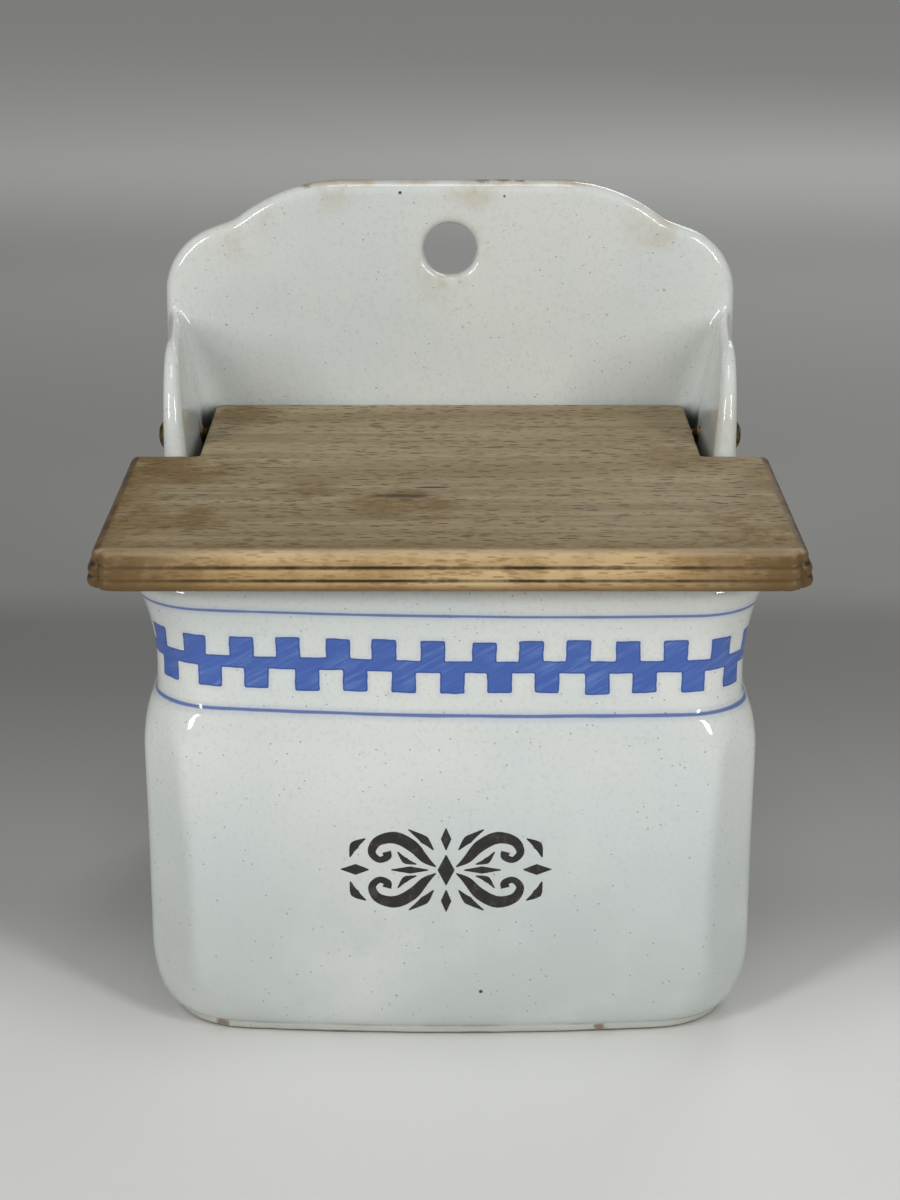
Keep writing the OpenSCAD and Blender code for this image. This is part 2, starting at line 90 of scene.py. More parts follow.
# The sides' spread to the plate, which stands a little proud of them
PROUD = 0.8
SPREAD = (PLATE_W - BELLY_W) / 2 - PROUD
SPREAD_Y, SPREAD_POWER = FRONT_Y + 0.4 * BOX_D, 2.4

# The ears: thickness at nose and back and the cove, each at the rim and how much less it is on top
EAR_L, EAR_H = 60.2, 37.9
EAR_Y, EAR_TOP = PLATE_Y - EAR_L, RIM + EAR_H
EAR_LEAN, EAR_CORNER, EAR_NOSE = 1.6, 24.0, 4.0
NOSE_T, BACK_T, EAR_COVE = (6.4, 2.7), (10.4, 7.2), (8.0, 5.6)
ROOT_TOP, ROOT_H, ROOT_OUTER, ROOT_INNER, ROOT_COVE = RIM + 0.6, 9.6, 2.6, 3.6, 4.5
BORE_R = 2.48


# Shapes

def steps(low, high, count):
    return np.linspace(low, high, count)


def eased(z, table):
    """A value read from a table of heights, with soft turns at its rows."""
    z = min(max(z, table[0][0]), table[-1][0])
    for (z0, v0), (z1, v1) in zip(table, table[1:]):
        if z <= z1:
            t = (z - z0) / (z1 - z0)
            return v0 + (v1 - v0) * t * t * (3 - 2 * t)
    return table[-1][1]


def side_x(half_w, y):
    """Where a side lies at y: it runs straight back, then spreads to the plate."""
    share = np.clip((y - SPREAD_Y) / (PLATE_Y - SPREAD_Y), 0, 1) ** SPREAD_POWER
    return half_w + min(SPREAD, PLATE_W / 2 - PROUD - half_w) * share


def inset_at(z):
    """How far the outer wall stands in from the belly at a height."""
    if z <= FOOT_H:
        return FOOT_IN
    if z < BELLY_LOW:
        return FOOT_IN * (1 - math.sqrt(1 - ((BELLY_LOW - z) / (BELLY_LOW - FOOT_H)) ** 2))
    if z <= SHOULDER:
        return 0.0
    if z < NECK:
        return NECK_IN * (1 - math.sqrt(1 - ((z - SHOULDER) / (NECK - SHOULDER)) ** 2))
    if z <= COVE:
        return NECK_IN
    if z <= LIP:
        return NECK_IN - COVE_R + math.sqrt(COVE_R ** 2 - (z - COVE) ** 2)
    return RIM_ROUND * (1 - math.sqrt(max(0, 1 - ((z - LIP) / (RIM - LIP)) ** 2))) - RIM_OUT


def bezier(a, b, c, count):
    t = steps(0, 1, count)[:, None]
    return (1 - t) ** 2 * a + 2 * t * (1 - t) * b + t * t * c


def half_section(set_in, cant, soft, rear_y, rear_r):
    """Half of a level section, from the middle of the back round to the middle of the front."""
    a = BELLY_W / 2 - set_in
    y0 = FRONT_Y + set_in

    def front(x):
        return y0 + BOW * (x / a) ** 2

    cant_a = np.array([a, front(a - cant) + 1.1 * cant])
    cant_b = np.array([a - cant, front(a - cant)])
    along = cant_b - cant_a
    length = np.linalg.norm(along)
    f = length / 2 * soft
    u = along / length
    rear_x = side_x(a, rear_y)
    turn = steps(0, math.pi / 2, 9)
    start_a = cant_a + [0, f]
    ys = steps(rear_y - rear_r, start_a[1], 44)[1:-1]
    end_x = a - cant - f
    xs = steps(end_x, 0, 38)[1:]
    return np.vstack((
        [(x, rear_y) for x in steps(0, rear_x - rear_r, 14)[:-1]],
        np.column_stack((rear_x - rear_r * (1 - np.sin(turn)), rear_y - rear_r * (1 - np.cos(turn)))),
        np.column_stack((side_x(a, ys), ys)),
        bezier(start_a, cant_a, cant_a + u * f, 9),
        bezier(cant_b - u * f * 0.98, cant_b, np.array([end_x, front(end_x)]), 9),
        np.column_stack((xs, front(xs))),
    ))


def section(z, set_in, cant, soft, rear_y, rear_r):
    """A whole level section as a ring, anticlockwise from above."""
    half = half_section(set_in, cant, soft, rear_y, rear_r)
    ring = np.vstack((half * [-1, 1], half[-2:0:-1]))
    return np.column_stack((ring, np.full(len(ring), z)))


def outer_ring(z, extra=0.0):
    return section(z, inset_at(z) + extra, eased(z, CANTS), eased(z, SOFTS), PLATE_Y + PLATE_T / 2, 1.0)


def inner_ring(z, extra=0.0):
    set_in = WALL + (0 if z <= BELLY_LOW else min(inset_at(min(z, LIP)), NECK_IN)) + extra
    cant = max(3.0, eased(z, CANTS) - 0.586 * (WALL + extra))
    return section(z, set_in, cant, eased(z, SOFTS), PLATE_Y - 0.9 - max(0.0, extra), INNER_CORNER)


def foot_ring(z, extra):
    return section(z, FOOT_IN + FOOT_RING + extra, 6.9, 1.0, BACK_Y - FOOT_RING - extra, FOOT_CORNER)


def shell_rings():
    """The box as one skin: up the outside, over the rim and down inside to the floor."""
    quarter = steps(0, math.pi / 2, 12)
    low = [BELLY_LOW - (BELLY_LOW - FOOT_H) * math.cos(a) for a in quarter]
    shoulder = [SHOULDER + (NECK - SHOULDER) * math.sin(a) for a in quarter[1:]]
    lip = [LIP + (RIM - LIP) * math.sin(a) for a in quarter[1:]]
    heights = low + list(steps(BELLY_LOW, SHOULDER, 18)[1:]) + shoulder + [NECK + 1, NECK + 3, COVE]
    heights += list(steps(COVE, LIP, 16)[1:]) + lip
    inside = list(steps(RIM - MOUTH_ROUND, NECK, 12)[1:]) + shoulder[::-1][1:]
    inside += list(steps(SHOULDER, BELLY_LOW, 12))
    floor = FOOT_RECESS + FLOOR_T
    rings = [foot_ring(FOOT_RECESS, FOOT_RECESS), foot_ring(0, 0)]
    rings += [outer_ring(0, 1.0), outer_ring(0.25, 0.5), outer_ring(1.0, 0.0)]
    rings += [outer_ring(z) for z in heights]
    for a in quarter[::-1]:
        rings.append(inner_ring(RIM - MOUTH_ROUND * (1 - math.sin(a)), -MOUTH_OUT * (1 - math.cos(a))))
    rings += [inner_ring(z) for z in inside]
    for a in quarter[::-1]:
        rings.append(inner_ring(floor + BOTTOM_ROUND * (1 - math.cos(a)), BOTTOM_ROUND * (1 - math.sin(a))))
    return rings


def walk_arc(walk, r, turn, count):
    """Adds an arc to a walk of (x, z, heading)."""
    x, z, h = walk[-1]
    r = math.copysign(r, turn)
    for a in steps(0, turn, count + 1)[1:]:
        walk.append((x + r * (math.sin(h + a) - math.sin(h)), z + r * (math.cos(h) - math.cos(h + a)), h + a))


def plate_half():
    """Half of the back plate's outline: crest, hollow, run, shoulder, side and lower corner."""
    dip = CREST_TURN - HOLLOW_TURN
    flat = PLATE_W / 2 - CREST_R * math.sin(CREST_TURN) - HOLLOW_R * (math.sin(CREST_TURN) - math.sin(dip))
    flat = flat - RUN * math.cos(dip) - PLATE_SHOULDER_R * (1 - math.sin(dip))
    walk = [(x, PLATE_H, 0.0) for x in steps(flat / 8, flat, 8)]
    walk_arc(walk, CREST_R, -CREST_TURN, 24)
    walk_arc(walk, HOLLOW_R, HOLLOW_TURN, 8)
    x, z, h = walk[-1]
    walk += [(x + s * math.cos(h), z + s * math.sin(h), h) for s in (2.3, 4.7, RUN)]
    walk_arc(walk, PLATE_SHOULDER_R, dip - math.pi / 2, 24)
    walk += [(PLATE_W / 2, z, -math.pi / 2) for z in steps(walk[-1][1], CORNER_R, 40)[1:]]
    walk_arc(walk, CORNER_R, -math.pi / 2, 14)
    walk += [(x, 0.0, -math.pi) for x in steps(PLATE_W / 2 - CORNER_R, 0, 16)[1:-1]]
    return np.array(walk)


def plate_rings():
    half = plate_half()
    rings = []
    quarter = steps(0, math.pi / 2, 9)
    edge = [(BACK_ROUND * (1 - math.sin(a)), BACK_ROUND * (1 - math.cos(a))) for a in quarter]
    edge += [(FRONT_ROUND * (1 - math.cos(a)), PLATE_T - FRONT_ROUND * (1 - math.sin(a))) for a in quarter]
    for s, depth in edge:
        x = half[:, 0] + s * np.sin(half[:, 2])
        z = half[:, 1] - s * np.cos(half[:, 2])
        right = np.column_stack((x, np.full(len(x), BACK_Y - depth), z))
        top = np.array([[0, BACK_Y - depth, PLATE_H - s]])
        foot = np.array([[0, BACK_Y - depth, s]])
        rings.append(np.vstack((top, right * [-1, 1, 1], foot, right[::-1])))
    return rings


def hole_profile():
    """The hanging hole as a turned cutter that leaves a round lip at each face of the plate."""
    wide = HOLE_R + HOLE_LIP
    lip = [(wide - math.sqrt(max(0, HOLE_LIP ** 2 - (HOLE_LIP - t) ** 2)), t) for t in steps(0, HOLE_LIP, 7)]
    return [(wide, -1.0)] + lip + [(r, PLATE_T - t) for r, t in lip[::-1]] + [(wide, PLATE_T + 1.0)]


def ear_front(z):
    """Where an ear's front edge lies: it leans back a little, then turns over in its top corner."""
    corner_z = EAR_TOP - EAR_CORNER
    if z < corner_z:
        return EAR_Y + EAR_LEAN * min(1.0, max(0.0, (z - RIM) / (corner_z - RIM)))
    return EAR_Y + EAR_LEAN + EAR_CORNER - math.sqrt(max(0.0, EAR_CORNER ** 2 - (z - corner_z) ** 2))


def ear_ring(z, root):
    """A level section of an ear. At its root it is pulled into the wall on all sides."""
    k = max(0.15, math.sqrt(1 - min(1.0, max(0.0, (z - EAR_TOP + EAR_NOSE) / EAR_NOSE)) ** 2))
    outer_in, inner_in = ROOT_OUTER * root, ROOT_INNER * root
    up = min(1.0, max(0.0, (z - RIM - EAR_NOSE) / (EAR_H - EAR_NOSE)))
    front_t, back_t, cove = (size - less * up for size, less in (NOSE_T, BACK_T, EAR_COVE))
    cove = k * cove - ROOT_COVE * root
    half_front = k * front_t / 2
    y0 = ear_front(z) + half_front + outer_in
    y1 = PLATE_Y - cove

    def thick(y):
        return front_t + (back_t - front_t) * np.clip((y - EAR_Y) / EAR_L, 0, 1)

    def mid(y):
        return side_x(BELLY_W / 2, y) - thick(y) / 2 + (inner_in - outer_in) / 2

    def half_t(y):
        return k * (thick(y) - outer_in - inner_in) / 2

    deep = PLATE_Y + PLATE_T / 2
    ys = steps(y0, PLATE_Y, 26)
    quarter = steps(0, math.pi / 2, 8)
    inner_x = mid(y1) - half_t(y1)
    back = steps(y1, y0, 22)[1:]
    arc = steps(0, math.pi, 16)[1:-1]
    plan = np.vstack((
        np.column_stack((mid(ys) + half_t(ys), ys)),
        [(mid(PLATE_Y) + half_t(PLATE_Y), deep), (mid(PLATE_Y) - half_t(PLATE_Y) - cove, deep)],
        np.column_stack((inner_x - cove * (1 - np.sin(quarter)), y1 + cove * np.cos(quarter))),
        np.column_stack((mid(back) - half_t(back), back)),
        np.column_stack((mid(y0) - half_t(y0) * np.cos(arc), y0 - half_front * np.sin(arc))),
    ))
    return np.column_stack((plan, np.full(len(plan), z)))


def ear_rings():
    nose_z = EAR_TOP - EAR_NOSE
    rings = [ear_ring(z, (ROOT_TOP - z) / ROOT_H) for z in steps(RIM - 9, ROOT_TOP, 8)]
    rings += [ear_ring(z, 0) for z in steps(RIM + 2, nose_z, 34)]
    rings += [ear_ring(nose_z + EAR_NOSE * math.sin(a), 0) for a in steps(0, math.radians(80), 12)[1:]]
    return rings


# Meshes

def mesh_object(name, points, faces):
    """A piece from points in millimetres."""
    mesh = bpy.data.meshes.new(name)
    mesh.from_pydata((np.asarray(points) * MM).tolist(), [], faces)
    obj = bpy.data.objects.new(name, mesh)
    bpy.context.scene.collection.objects.link(obj)
    return obj


def loft(name, rings):
    """A closed skin through rings of equal length, with each end closed to its middle."""
    n = len(rings[0])
    points = np.vstack(rings + [rings[0].mean(0)[None], rings[-1].mean(0)[None]])
    faces = []
    for i in range(len(rings) - 1):
        for j in range(n):
            k = (j + 1) % n
            faces.append((i * n + j, i * n + k, (i + 1) * n + k, (i + 1) * n + j))
    last = (len(rings) - 1) * n
    for j in range(n):
        k = (j + 1) % n
        faces.append((len(rings) * n, k, j))
        faces.append((len(rings) * n + 1, last + j, last + k))
    obj = mesh_object(name, points, faces)
    outward(obj)
    return obj


def outward(obj):
    """Joins points that coincide, and turns all faces outwards."""
    b = bmesh.new()
    b.from_mesh(obj.data)
    bmesh.ops.remove_doubles(b, verts=b.verts, dist=1e-7)
    bmesh.ops.recalc_face_normals(b, faces=b.faces)
    b.to_mesh(obj.data)
    b.free()


def lathe(name, profile, place, axis, count=64):
    """A turned shape: profile is (radius, distance along the axis), axis is "X" or "Y"."""
    rings = []
    for r, s in profile:
        a = steps(0, 2 * math.pi, count + 1)[:-1]
        across, up, along = r * np.cos(a), r * np.sin(a), np.full(count, s)
        point = (along, across, up) if axis == "X" else (across, along, up)
        rings.append(np.column_stack(point) + place)
    return loft(name, rings)


def settle(obj):
    """Turns a piece with its modifiers into a plain mesh."""
    graph = bpy.context.evaluated_depsgraph_get()
    graph.update()
    mesh = bpy.data.meshes.new_from_object(obj.evaluated_get(graph), depsgraph=graph)
    old = obj.data
    obj.modifiers.clear()
    obj.data = mesh
    mesh.name = obj.name
    bpy.data.meshes.remove(old)


def cut(obj, cutter):
    tool = obj.modifiers.new("Cut", "BOOLEAN")
    tool.operation = "DIFFERENCE"
    tool.solver = "EXACT"
    tool.object = cutter
    settle(obj)
    bpy.data.objects.remove(cutter)


def join(obj, others):
    b = bmesh.new()
    b.from_mesh(obj.data)
    for other in others:
        b.from_mesh(other.data)
        bpy.data.objects.remove(other)
    b.to_mesh(obj.data)
    b.free()


def read(collection, name):
    values = np.empty(len(collection) * 3, np.float32)
    collection.foreach_get(name, values)
    return values.reshape(-1, 3)


def coordinates(mesh):
    return read(mesh.vertices, "co") / MM


def place_points(mesh, co):
    mesh.vertices.foreach_set("co", (co * MM).ravel())


def surface_of(mesh):
    return BVHTree.FromPolygons([v.co[:] for v in mesh.vertices], [p.vertices[:] for p in mesh.polygons])


def dress(obj, material):
    obj.data.materials.clear()
    obj.data.materials.append(material)


def worn_smooth(obj, voxel, rounds, budget, shape=None):
    """Rounds a piece over as glaze or handling does, and thins it to a budget of triangles.

    A shape, if given, bends the fine skin first. The thin mesh keeps the fine skin's shading.
    """
    skin = obj.modifiers.new("Skin", "REMESH")
    skin.mode = "VOXEL"
    skin.voxel_size = voxel * MM
    relax = obj.modifiers.new("Relax", "SMOOTH")
    relax.factor = 0.5
    relax.iterations = rounds
    settle(obj)
    if shape:
        shape(obj.data)
    fine = obj.data.copy()
    tree = surface_of(fine)
    normals = read(fine.vertex_normals, "vector")
    triangles = sum(len(p.vertices) - 2 for p in fine.polygons)
    thin = obj.modifiers.new("Thin", "DECIMATE")
    thin.ratio = min(1.0, budget / triangles)
    settle(obj)
    kept = []
    for v in obj.data.vertices:
        spot, _, face, _ = tree.find_nearest(v.co)
        corners = fine.polygons[face].vertices
        weights = [1 / ((fine.vertices[c].co - spot).length_squared + 1e-10) for c in corners]
        blended = sum((Vector(normals[c]) * w for c, w in zip(corners, weights)), Vector())
        kept.append(blended.normalized()[:])
    for p in obj.data.polygons:
        p.use_smooth = True
    obj.data.normals_split_custom_set_from_vertices(kept)
    bpy.data.meshes.remove(fine)


# Finishes

class Maker:
    """Makes the nodes of a tree, one by one."""

    def __init__(self, tree):
        self.tree = tree

    def put(self, socket, value):
        if isinstance(value, bpy.types.NodeSocket):
            self.tree.links.new(value, socket)
        else:
            socket.default_value = value

    def node(self, kind, inputs, **settings):
        made = self.tree.nodes.new(kind)
        for key, value in settings.items():
            setattr(made, key, value)
        for key, value in inputs.items():
            self.put(made.inputs[key], value)
        return made

    def math(self, operation, a, b=0.0, c=0.0):
        return self.node("ShaderNodeMath", {0: a, 1: b, 2: c}, operation=operation).outputs[0]

    def minus(self, a, b):
        return self.math("SUBTRACT", a, b)

    def times(self, *values):
        product = values[0]
        for value in values[1:]:
            product = self.math("MULTIPLY", product, value)
        return product

    def most(self, *values):
        best = values[0]
        for value in values[1:]:
            best = self.math("MAXIMUM", best, value)
        return best

    def scaled(self, a, b, c):
        """One value times another, and a third added."""
        return self.math("MULTIPLY_ADD", a, b, c)

    def off(self, value, middle):
        """How far a value is from a middle, either way."""
        return self.math("ABSOLUTE", self.minus(value, middle))


class Finish(Maker):
    """A material of the object's own coordinates."""

    def __init__(self, name):
        self.material = bpy.data.materials.new(name)
        self.material.use_nodes = True
        super().__init__(self.material.node_tree)
        self.surface = self.tree.nodes["Principled BSDF"]
        self.object = self.tree.nodes.new("ShaderNodeTexCoord").outputs["Object"]
        self.waves = {}

    def distance(self, vector, place):
        return self.node("ShaderNodeVectorMath", {0: vector, 1: place}, operation="DISTANCE").outputs["Value"]

    def stretched(self, vector, scale, place=(0.0, 0.0, 0.0)):
        inputs = {"Vector": vector, "Location": place, "Scale": scale}
        return self.node("ShaderNodeMapping", inputs).outputs[0]

    def noise(self, scale, detail=3.0, roughness=0.5, distortion=0.0, vector=None):
        inputs = {"Scale": scale, "Detail": detail, "Roughness": roughness, "Distortion": distortion}
        inputs["Vector"] = self.object if vector is None else vector
        return self.node("ShaderNodeTexNoise", inputs).outputs["Fac"]

    def grain(self, stretch, detail, roughness, distortion=0.0, vector=None):
        """Noise drawn out along the axes."""
        drawn = self.stretched(self.object if vector is None else vector, stretch)
        return self.noise(1.0, detail, roughness, distortion, drawn)

    def swing(self, scale, detail, roughness=0.5):
        """Noise about zero."""
        return self.minus(self.noise(scale, detail, roughness), 0.5)

    def ramp(self, value, low, high, to_low=0.0, to_high=1.0):
        """A soft step between two values."""
        inputs = {"Value": value, "From Min": low, "From Max": high, "To Min": to_low, "To Max": to_high}
        return self.node("ShaderNodeMapRange", inputs, interpolation_type="SMOOTHSTEP").outputs["Result"]

    def mix(self, share, a, b):
        """A colour between two, each a socket or three numbers."""
        made = self.node("ShaderNodeMix", {0: share}, data_type="RGBA")
        for place, colour in ((6, a), (7, b)):
            plain = not isinstance(colour, bpy.types.NodeSocket)
            self.put(made.inputs[place], (*colour, 1.0) if plain else colour)
        return made.outputs[2]

    def layers(self, colour, *layers):
        """Lays colours over a first one, each as its share, its most and the colour."""
        for share, most, over in layers:
            colour = self.mix(self.times(share, most), colour, over)
        return colour

    def split(self):
        return self.node("ShaderNodeSeparateXYZ", {"Vector": self.object}).outputs

    def attribute(self, name):
        return self.node("ShaderNodeAttribute", {}, attribute_name=name).outputs["Fac"]

    def spots(self, vector, scale, share, size, core=0.4):
        """Small round spots, one in some of the cells of a random pattern."""
        cells = self.node("ShaderNodeTexVoronoi", {"Vector": vector, "Scale": scale}).outputs
        chance = self.node("ShaderNodeTexWhiteNoise", {"Vector": cells["Position"]}, noise_dimensions="3D")
        picked = self.math("LESS_THAN", chance.outputs["Value"], share)
        return self.times(picked, self.ramp(cells["Distance"], size, size * core))

    def near(self, place, radius, ragged=0.0, scale=110.0):
        """A blot round a place in millimetres, with a ragged edge. Its noise is made once for each scale."""
        away = self.distance(self.object, tuple(c * MM for c in place))
        if ragged:
            if scale not in self.waves:
                self.waves[scale] = self.swing(scale, 4.0, 0.6)
            away = self.scaled(self.waves[scale], ragged * MM * 2, away)
        return self.ramp(away, radius * MM, radius * MM * 0.45)

    def blots(self, table):
        """The strongest of several blots, each given as a strength and what near() takes."""
        return self.most(*(self.times(self.near(*blot), strength) for strength, *blot in table))

    def bump(self, height, distance, strength):
        inputs = {"Height": height, "Distance": distance, "Strength": strength}
        return self.node("ShaderNodeBump", inputs).outputs["Normal"]

    def surfaced(self, values):
        """Joins the finished values to the surface."""
        for name, value in values.items():
            self.put(self.surface.inputs[name], value)
        return self.material


# The painted border in millimetres: each row's shift round the girth, middle and seed, the bar, and
# each line's middle and how far it wanders
ROWS = ((4.0, 107.3, 3.0), (-0.3, 99.8, 41.0))
BAR_Z, BAR_HALF = 103.5, 1.65
LINES, LINE_HALF = ((117.7, 0.7), (NECK + 0.1, 0.5)), 0.34
BORDER_TILT = 0.015
GLAZE_IOR = 1.52
CHIP = 560.0

# Blots in the glaze: strength, place, radius and raggedness in millimetres
WARM_STAINS = (
    (0.75, (1, 77, HOLE_Z - 4), 17, 10), (0.55, (4, 76, PLATE_H), 12, 14),
    (0.5, (-34, 76, PLATE_H - 1), 10, 10), (0.4, (-80, 40, 156), 14, 14), (0.5, (-79, 14, 131), 9, 9),
    (0.35, (79, 20, 140), 20, 14), (0.35, (-60, -63, 4), 18, 14), (0.6, (-62, 80, 190), 16, 8),
    (0.5, (58, 78, 192), 14, 8),
)
# Painted shade: near-black blots in the narrow gaps between the ears and the lid, where shade falls
GAP_PAINTED_SHADE = ((1, (-70, 67, 128), 12, 3), (1, (70, 67, 128), 12, 3))
DOTS = (
    (1, (-14.5, 74, 199.5), 0.7), (1, (15.8, 74, 198.5), 0.6), (1, (31, -69, 36), 0.7),
    (1, (-60.5, -65, 66), 0.6), (1, (8, -70.5, 15), 0.7), (1, (40, -67, 55), 0.45),
)
CHIPS = (
    (1, (-41.5, 77, 200.2), 2.2, 1.8, CHIP), (1, (9, 77.5, PLATE_H), 2.4, 2.2, CHIP),
    (1, (15, 78, PLATE_H), 2.6, 2.2, CHIP), (1, (20.5, 77, PLATE_H), 1.8, 1.8, CHIP),
    (1, (39.5, -64.6, 1.6), 2.0, 1.6, CHIP), (1, (-60, -61.5, 1.6), 2.4, 1.8, CHIP),
)

# Brown stains on the lid in the same way, and where its moulding's quirks lie below its top
BROWN_STAINS = (
    (1, (-76, 0, 137), 24, 14), (1, (-72, -48, 137), 20, 14), (1, (78, -60, 137), 22, 14),
    (1, (-13, -38, 137), 19, 13), (0.8, (-60, 60, 137), 14, 9), (0.6, (-38, -22, 137), 12, 9),
    (0.5, (62, 10, 137), 16, 14),
)
SCUFF = ((73.5, -78, 133.5), 3.4, 2.5, CHIP)
QUIRKS = (3.85, 6.95)
MOULD_IN, MOULD_OUT = 4.4, 3.4


def painted_border(f, s, height):
    """The blue squares, in millimetres of girth and height. Gives the distance to the paint's edge."""
    pitch, half = s.pitch / MM, s.square / MM / 2
    shake = f.swing(260.0, 2.0)
    girth = f.scaled(shake, 0.7, f.attribute("girth"))
    sway = f.swing(30.0, 1.0)
    level = f.math("ADD", height, f.math("ADD", f.times(shake, 0.5), f.times(sway, 1.3)))

    def row(shift, middle, seed):
        place = f.math("DIVIDE", f.math("ADD", girth, pitch / 2 + shift), pitch)
        cell = f.math("FLOOR", place)
        rand = f.node("ShaderNodeTexWhiteNoise", {"W": f.math("ADD", cell, seed)}, noise_dimensions="1D")
        rand = f.minus(rand.outputs["Value"], 0.5)
        u = f.scaled(rand, 0.9, f.times(f.minus(f.minus(place, cell), 0.5), pitch))
        v = f.minus(level, f.scaled(rand, 0.5, middle))
        du = f.minus(f.math("ABSOLUTE", u), half)
        dv = f.minus(f.math("ABSOLUTE", v), half + 0.3)
        return f.math("SMOOTH_MAX", du, dv, 0.9)

    upper, lower = (row(*place) for place in ROWS)
    bar = f.minus(f.off(level, BAR_Z), BAR_HALF)
    return f.math("SMOOTH_MIN", bar, f.math("SMOOTH_MIN", upper, lower, 0.3), 0.5)


def painted_line(f, height, middle, wander):
    """A line round the box whose height wanders and whose width breathes."""
    sway, breath = f.swing(22.0, 2.0), f.swing(90.0, 3.0)
    off = f.math("ABSOLUTE", f.scaled(sway, wander, f.minus(height, middle)))
    return f.minus(off, f.scaled(breath, LINE_HALF * 0.9, LINE_HALF))


def glaze_finish(s):
    """Glossy white glaze with pinholes, stains and chips, and the blue border painted under it."""
    f = Finish("white_glaze")
    x, _, z = f.split()
    height = f.math("DIVIDE", z, MM)
    level = f.math("ADD", height, f.times(x, BORDER_TILT / MM))
    broad = f.noise(14.0, 3.0, 0.55)
    colour = f.mix(f.ramp(broad, 0.35, 0.65), s.glaze, (0.675, 0.72, 0.71))
    fine = f.ramp(f.noise(900.0, 3.0, 0.6), 0.5, 0.70)

    # Warm stains: round the hole, along the top edges and the inner corners. Painted shade low on the belly:
    # the glaze turns greyer and darker towards the foot, where less light falls
    cloud = f.noise(55.0, 4.0, 0.65)
    crest = f.times(f.ramp(z, PLATE_H * MM - 0.0025, PLATE_H * MM - 0.0003), 0.95)
    stain = f.times(f.most(f.blots(WARM_STAINS), crest), f.ramp(cloud, 0.38, 0.72))
    # Painted shade: the glaze greys and darkens from the neck down towards the foot
    low = f.times(f.ramp(height, 92.0, 10.0), f.ramp(f.noise(26.0, 3.0, 0.6), 0.25, 0.6, 0.6, 1.0))

    # The foot's dirt, a dark line over it and its bare ring, darkened at the very bottom as painted contact
    # shadow, then pinholes and chips
    wavy = f.scaled(f.noise(120.0, 4.0), -0.9, height)
    foot = f.ramp(wavy, 2.4, 0.8)
    line = f.times(f.ramp(f.minus(f.off(height, 3.2), 0.25), 0.35, 0.0), f.ramp(cloud, 0.42, 0.6))
    # Bare unglazed ring at the very bottom, painted dark as contact shadow where the box meets the floor
    bare_and_contact_shade = f.ramp(wavy, 0.65, 0.15)
    pin = f.most(f.spots(f.object, 170.0, 0.20, 0.075), f.spots(f.object, 430.0, 0.5, 0.125))
    chips = f.blots(CHIPS)
    colour = f.layers(
        colour,
        (fine, 0.28, (0.50, 0.52, 0.49)),
        (stain, 1.0, s.stain),
        # painted shade low on the belly
        (low, 0.8, (0.46, 0.50, 0.48)),
        # painted shade in the gaps between the ears and the lid
        (f.blots(GAP_PAINTED_SHADE), 0.93, (0.03, 0.028, 0.025)),
        (foot, 0.45, (0.46, 0.43, 0.33)),
        (line, 0.6, (0.32, 0.28, 0.22)),
        # bare ring, painted dark as contact shadow
        (bare_and_contact_shade, 1.0, (0.13, 0.115, 0.085)),
        (pin, 0.6, (0.20, 0.19, 0.16)),
        (f.blots(DOTS), 1.0, (0.05, 0.04, 0.035)),
        (chips, 0.85, (0.20, 0.13, 0.075)),
    )

    # The blue border: streaky paint, darker at its edges, with a faint halo under the glaze
    on = f.ramp(f.attribute("painted"), 0.45, 0.55)
    squares = painted_border(f, s, level)
    thin = f.math("MINIMUM", *(painted_line(f, level, middle, wander) for middle, wander in LINES))
    turn = {"Vector": f.object, "Angle": 0.5}
    brush = f.node("ShaderNodeVectorRotate", turn, rotation_type="Y_AXIS").outputs[0]
    strokes = f.ramp(f.grain((60.0, 60.0, 700.0), 5.0, 0.7, vector=brush), 0.42, 0.72)
    pool = f.noise(75.0, 2.0)
    blue = f.mix(f.times(strokes, f.ramp(pool, 0.35, 0.65, 0.25, 0.95)), s.blue, s.blue_light)
    blue = f.layers(blue, (f.ramp(f.off(squares, -0.16), 0.34, 0.08), 0.9, s.blue_dark))
    halo = f.most(f.times(f.ramp(squares, 1.5, 0.0), 0.16), f.times(f.ramp(thin, 1.6, 0.0), 0.2))
    colour = f.layers(
        colour,
        (halo, on, s.blue_light),
        (f.ramp(squares, 0.10, -0.06), on, blue),
        (f.times(f.ramp(thin, 0.22, -0.12), 0.85), on, (0.06, 0.12, 0.38)),
    )

    dull = f.most(f.times(chips, 0.6), bare_and_contact_shade, f.times(foot, 0.4))
    relief = f.scaled(f.noise(420.0, 2.0), 0.12, pool)
    relief = f.scaled(f.most(pin, chips), -0.8, relief)
    return f.surfaced({
        "Base Color": colour,
        "Roughness": f.scaled(dull, 0.55, f.ramp(broad, 0.3, 0.7, 0.06, 0.11)),
        "IOR": GLAZE_IOR,
        "Coat Weight": 0.25,
        "Coat Roughness": 0.04,
        "Normal": f.bump(relief, 0.00022, 0.7),
    })


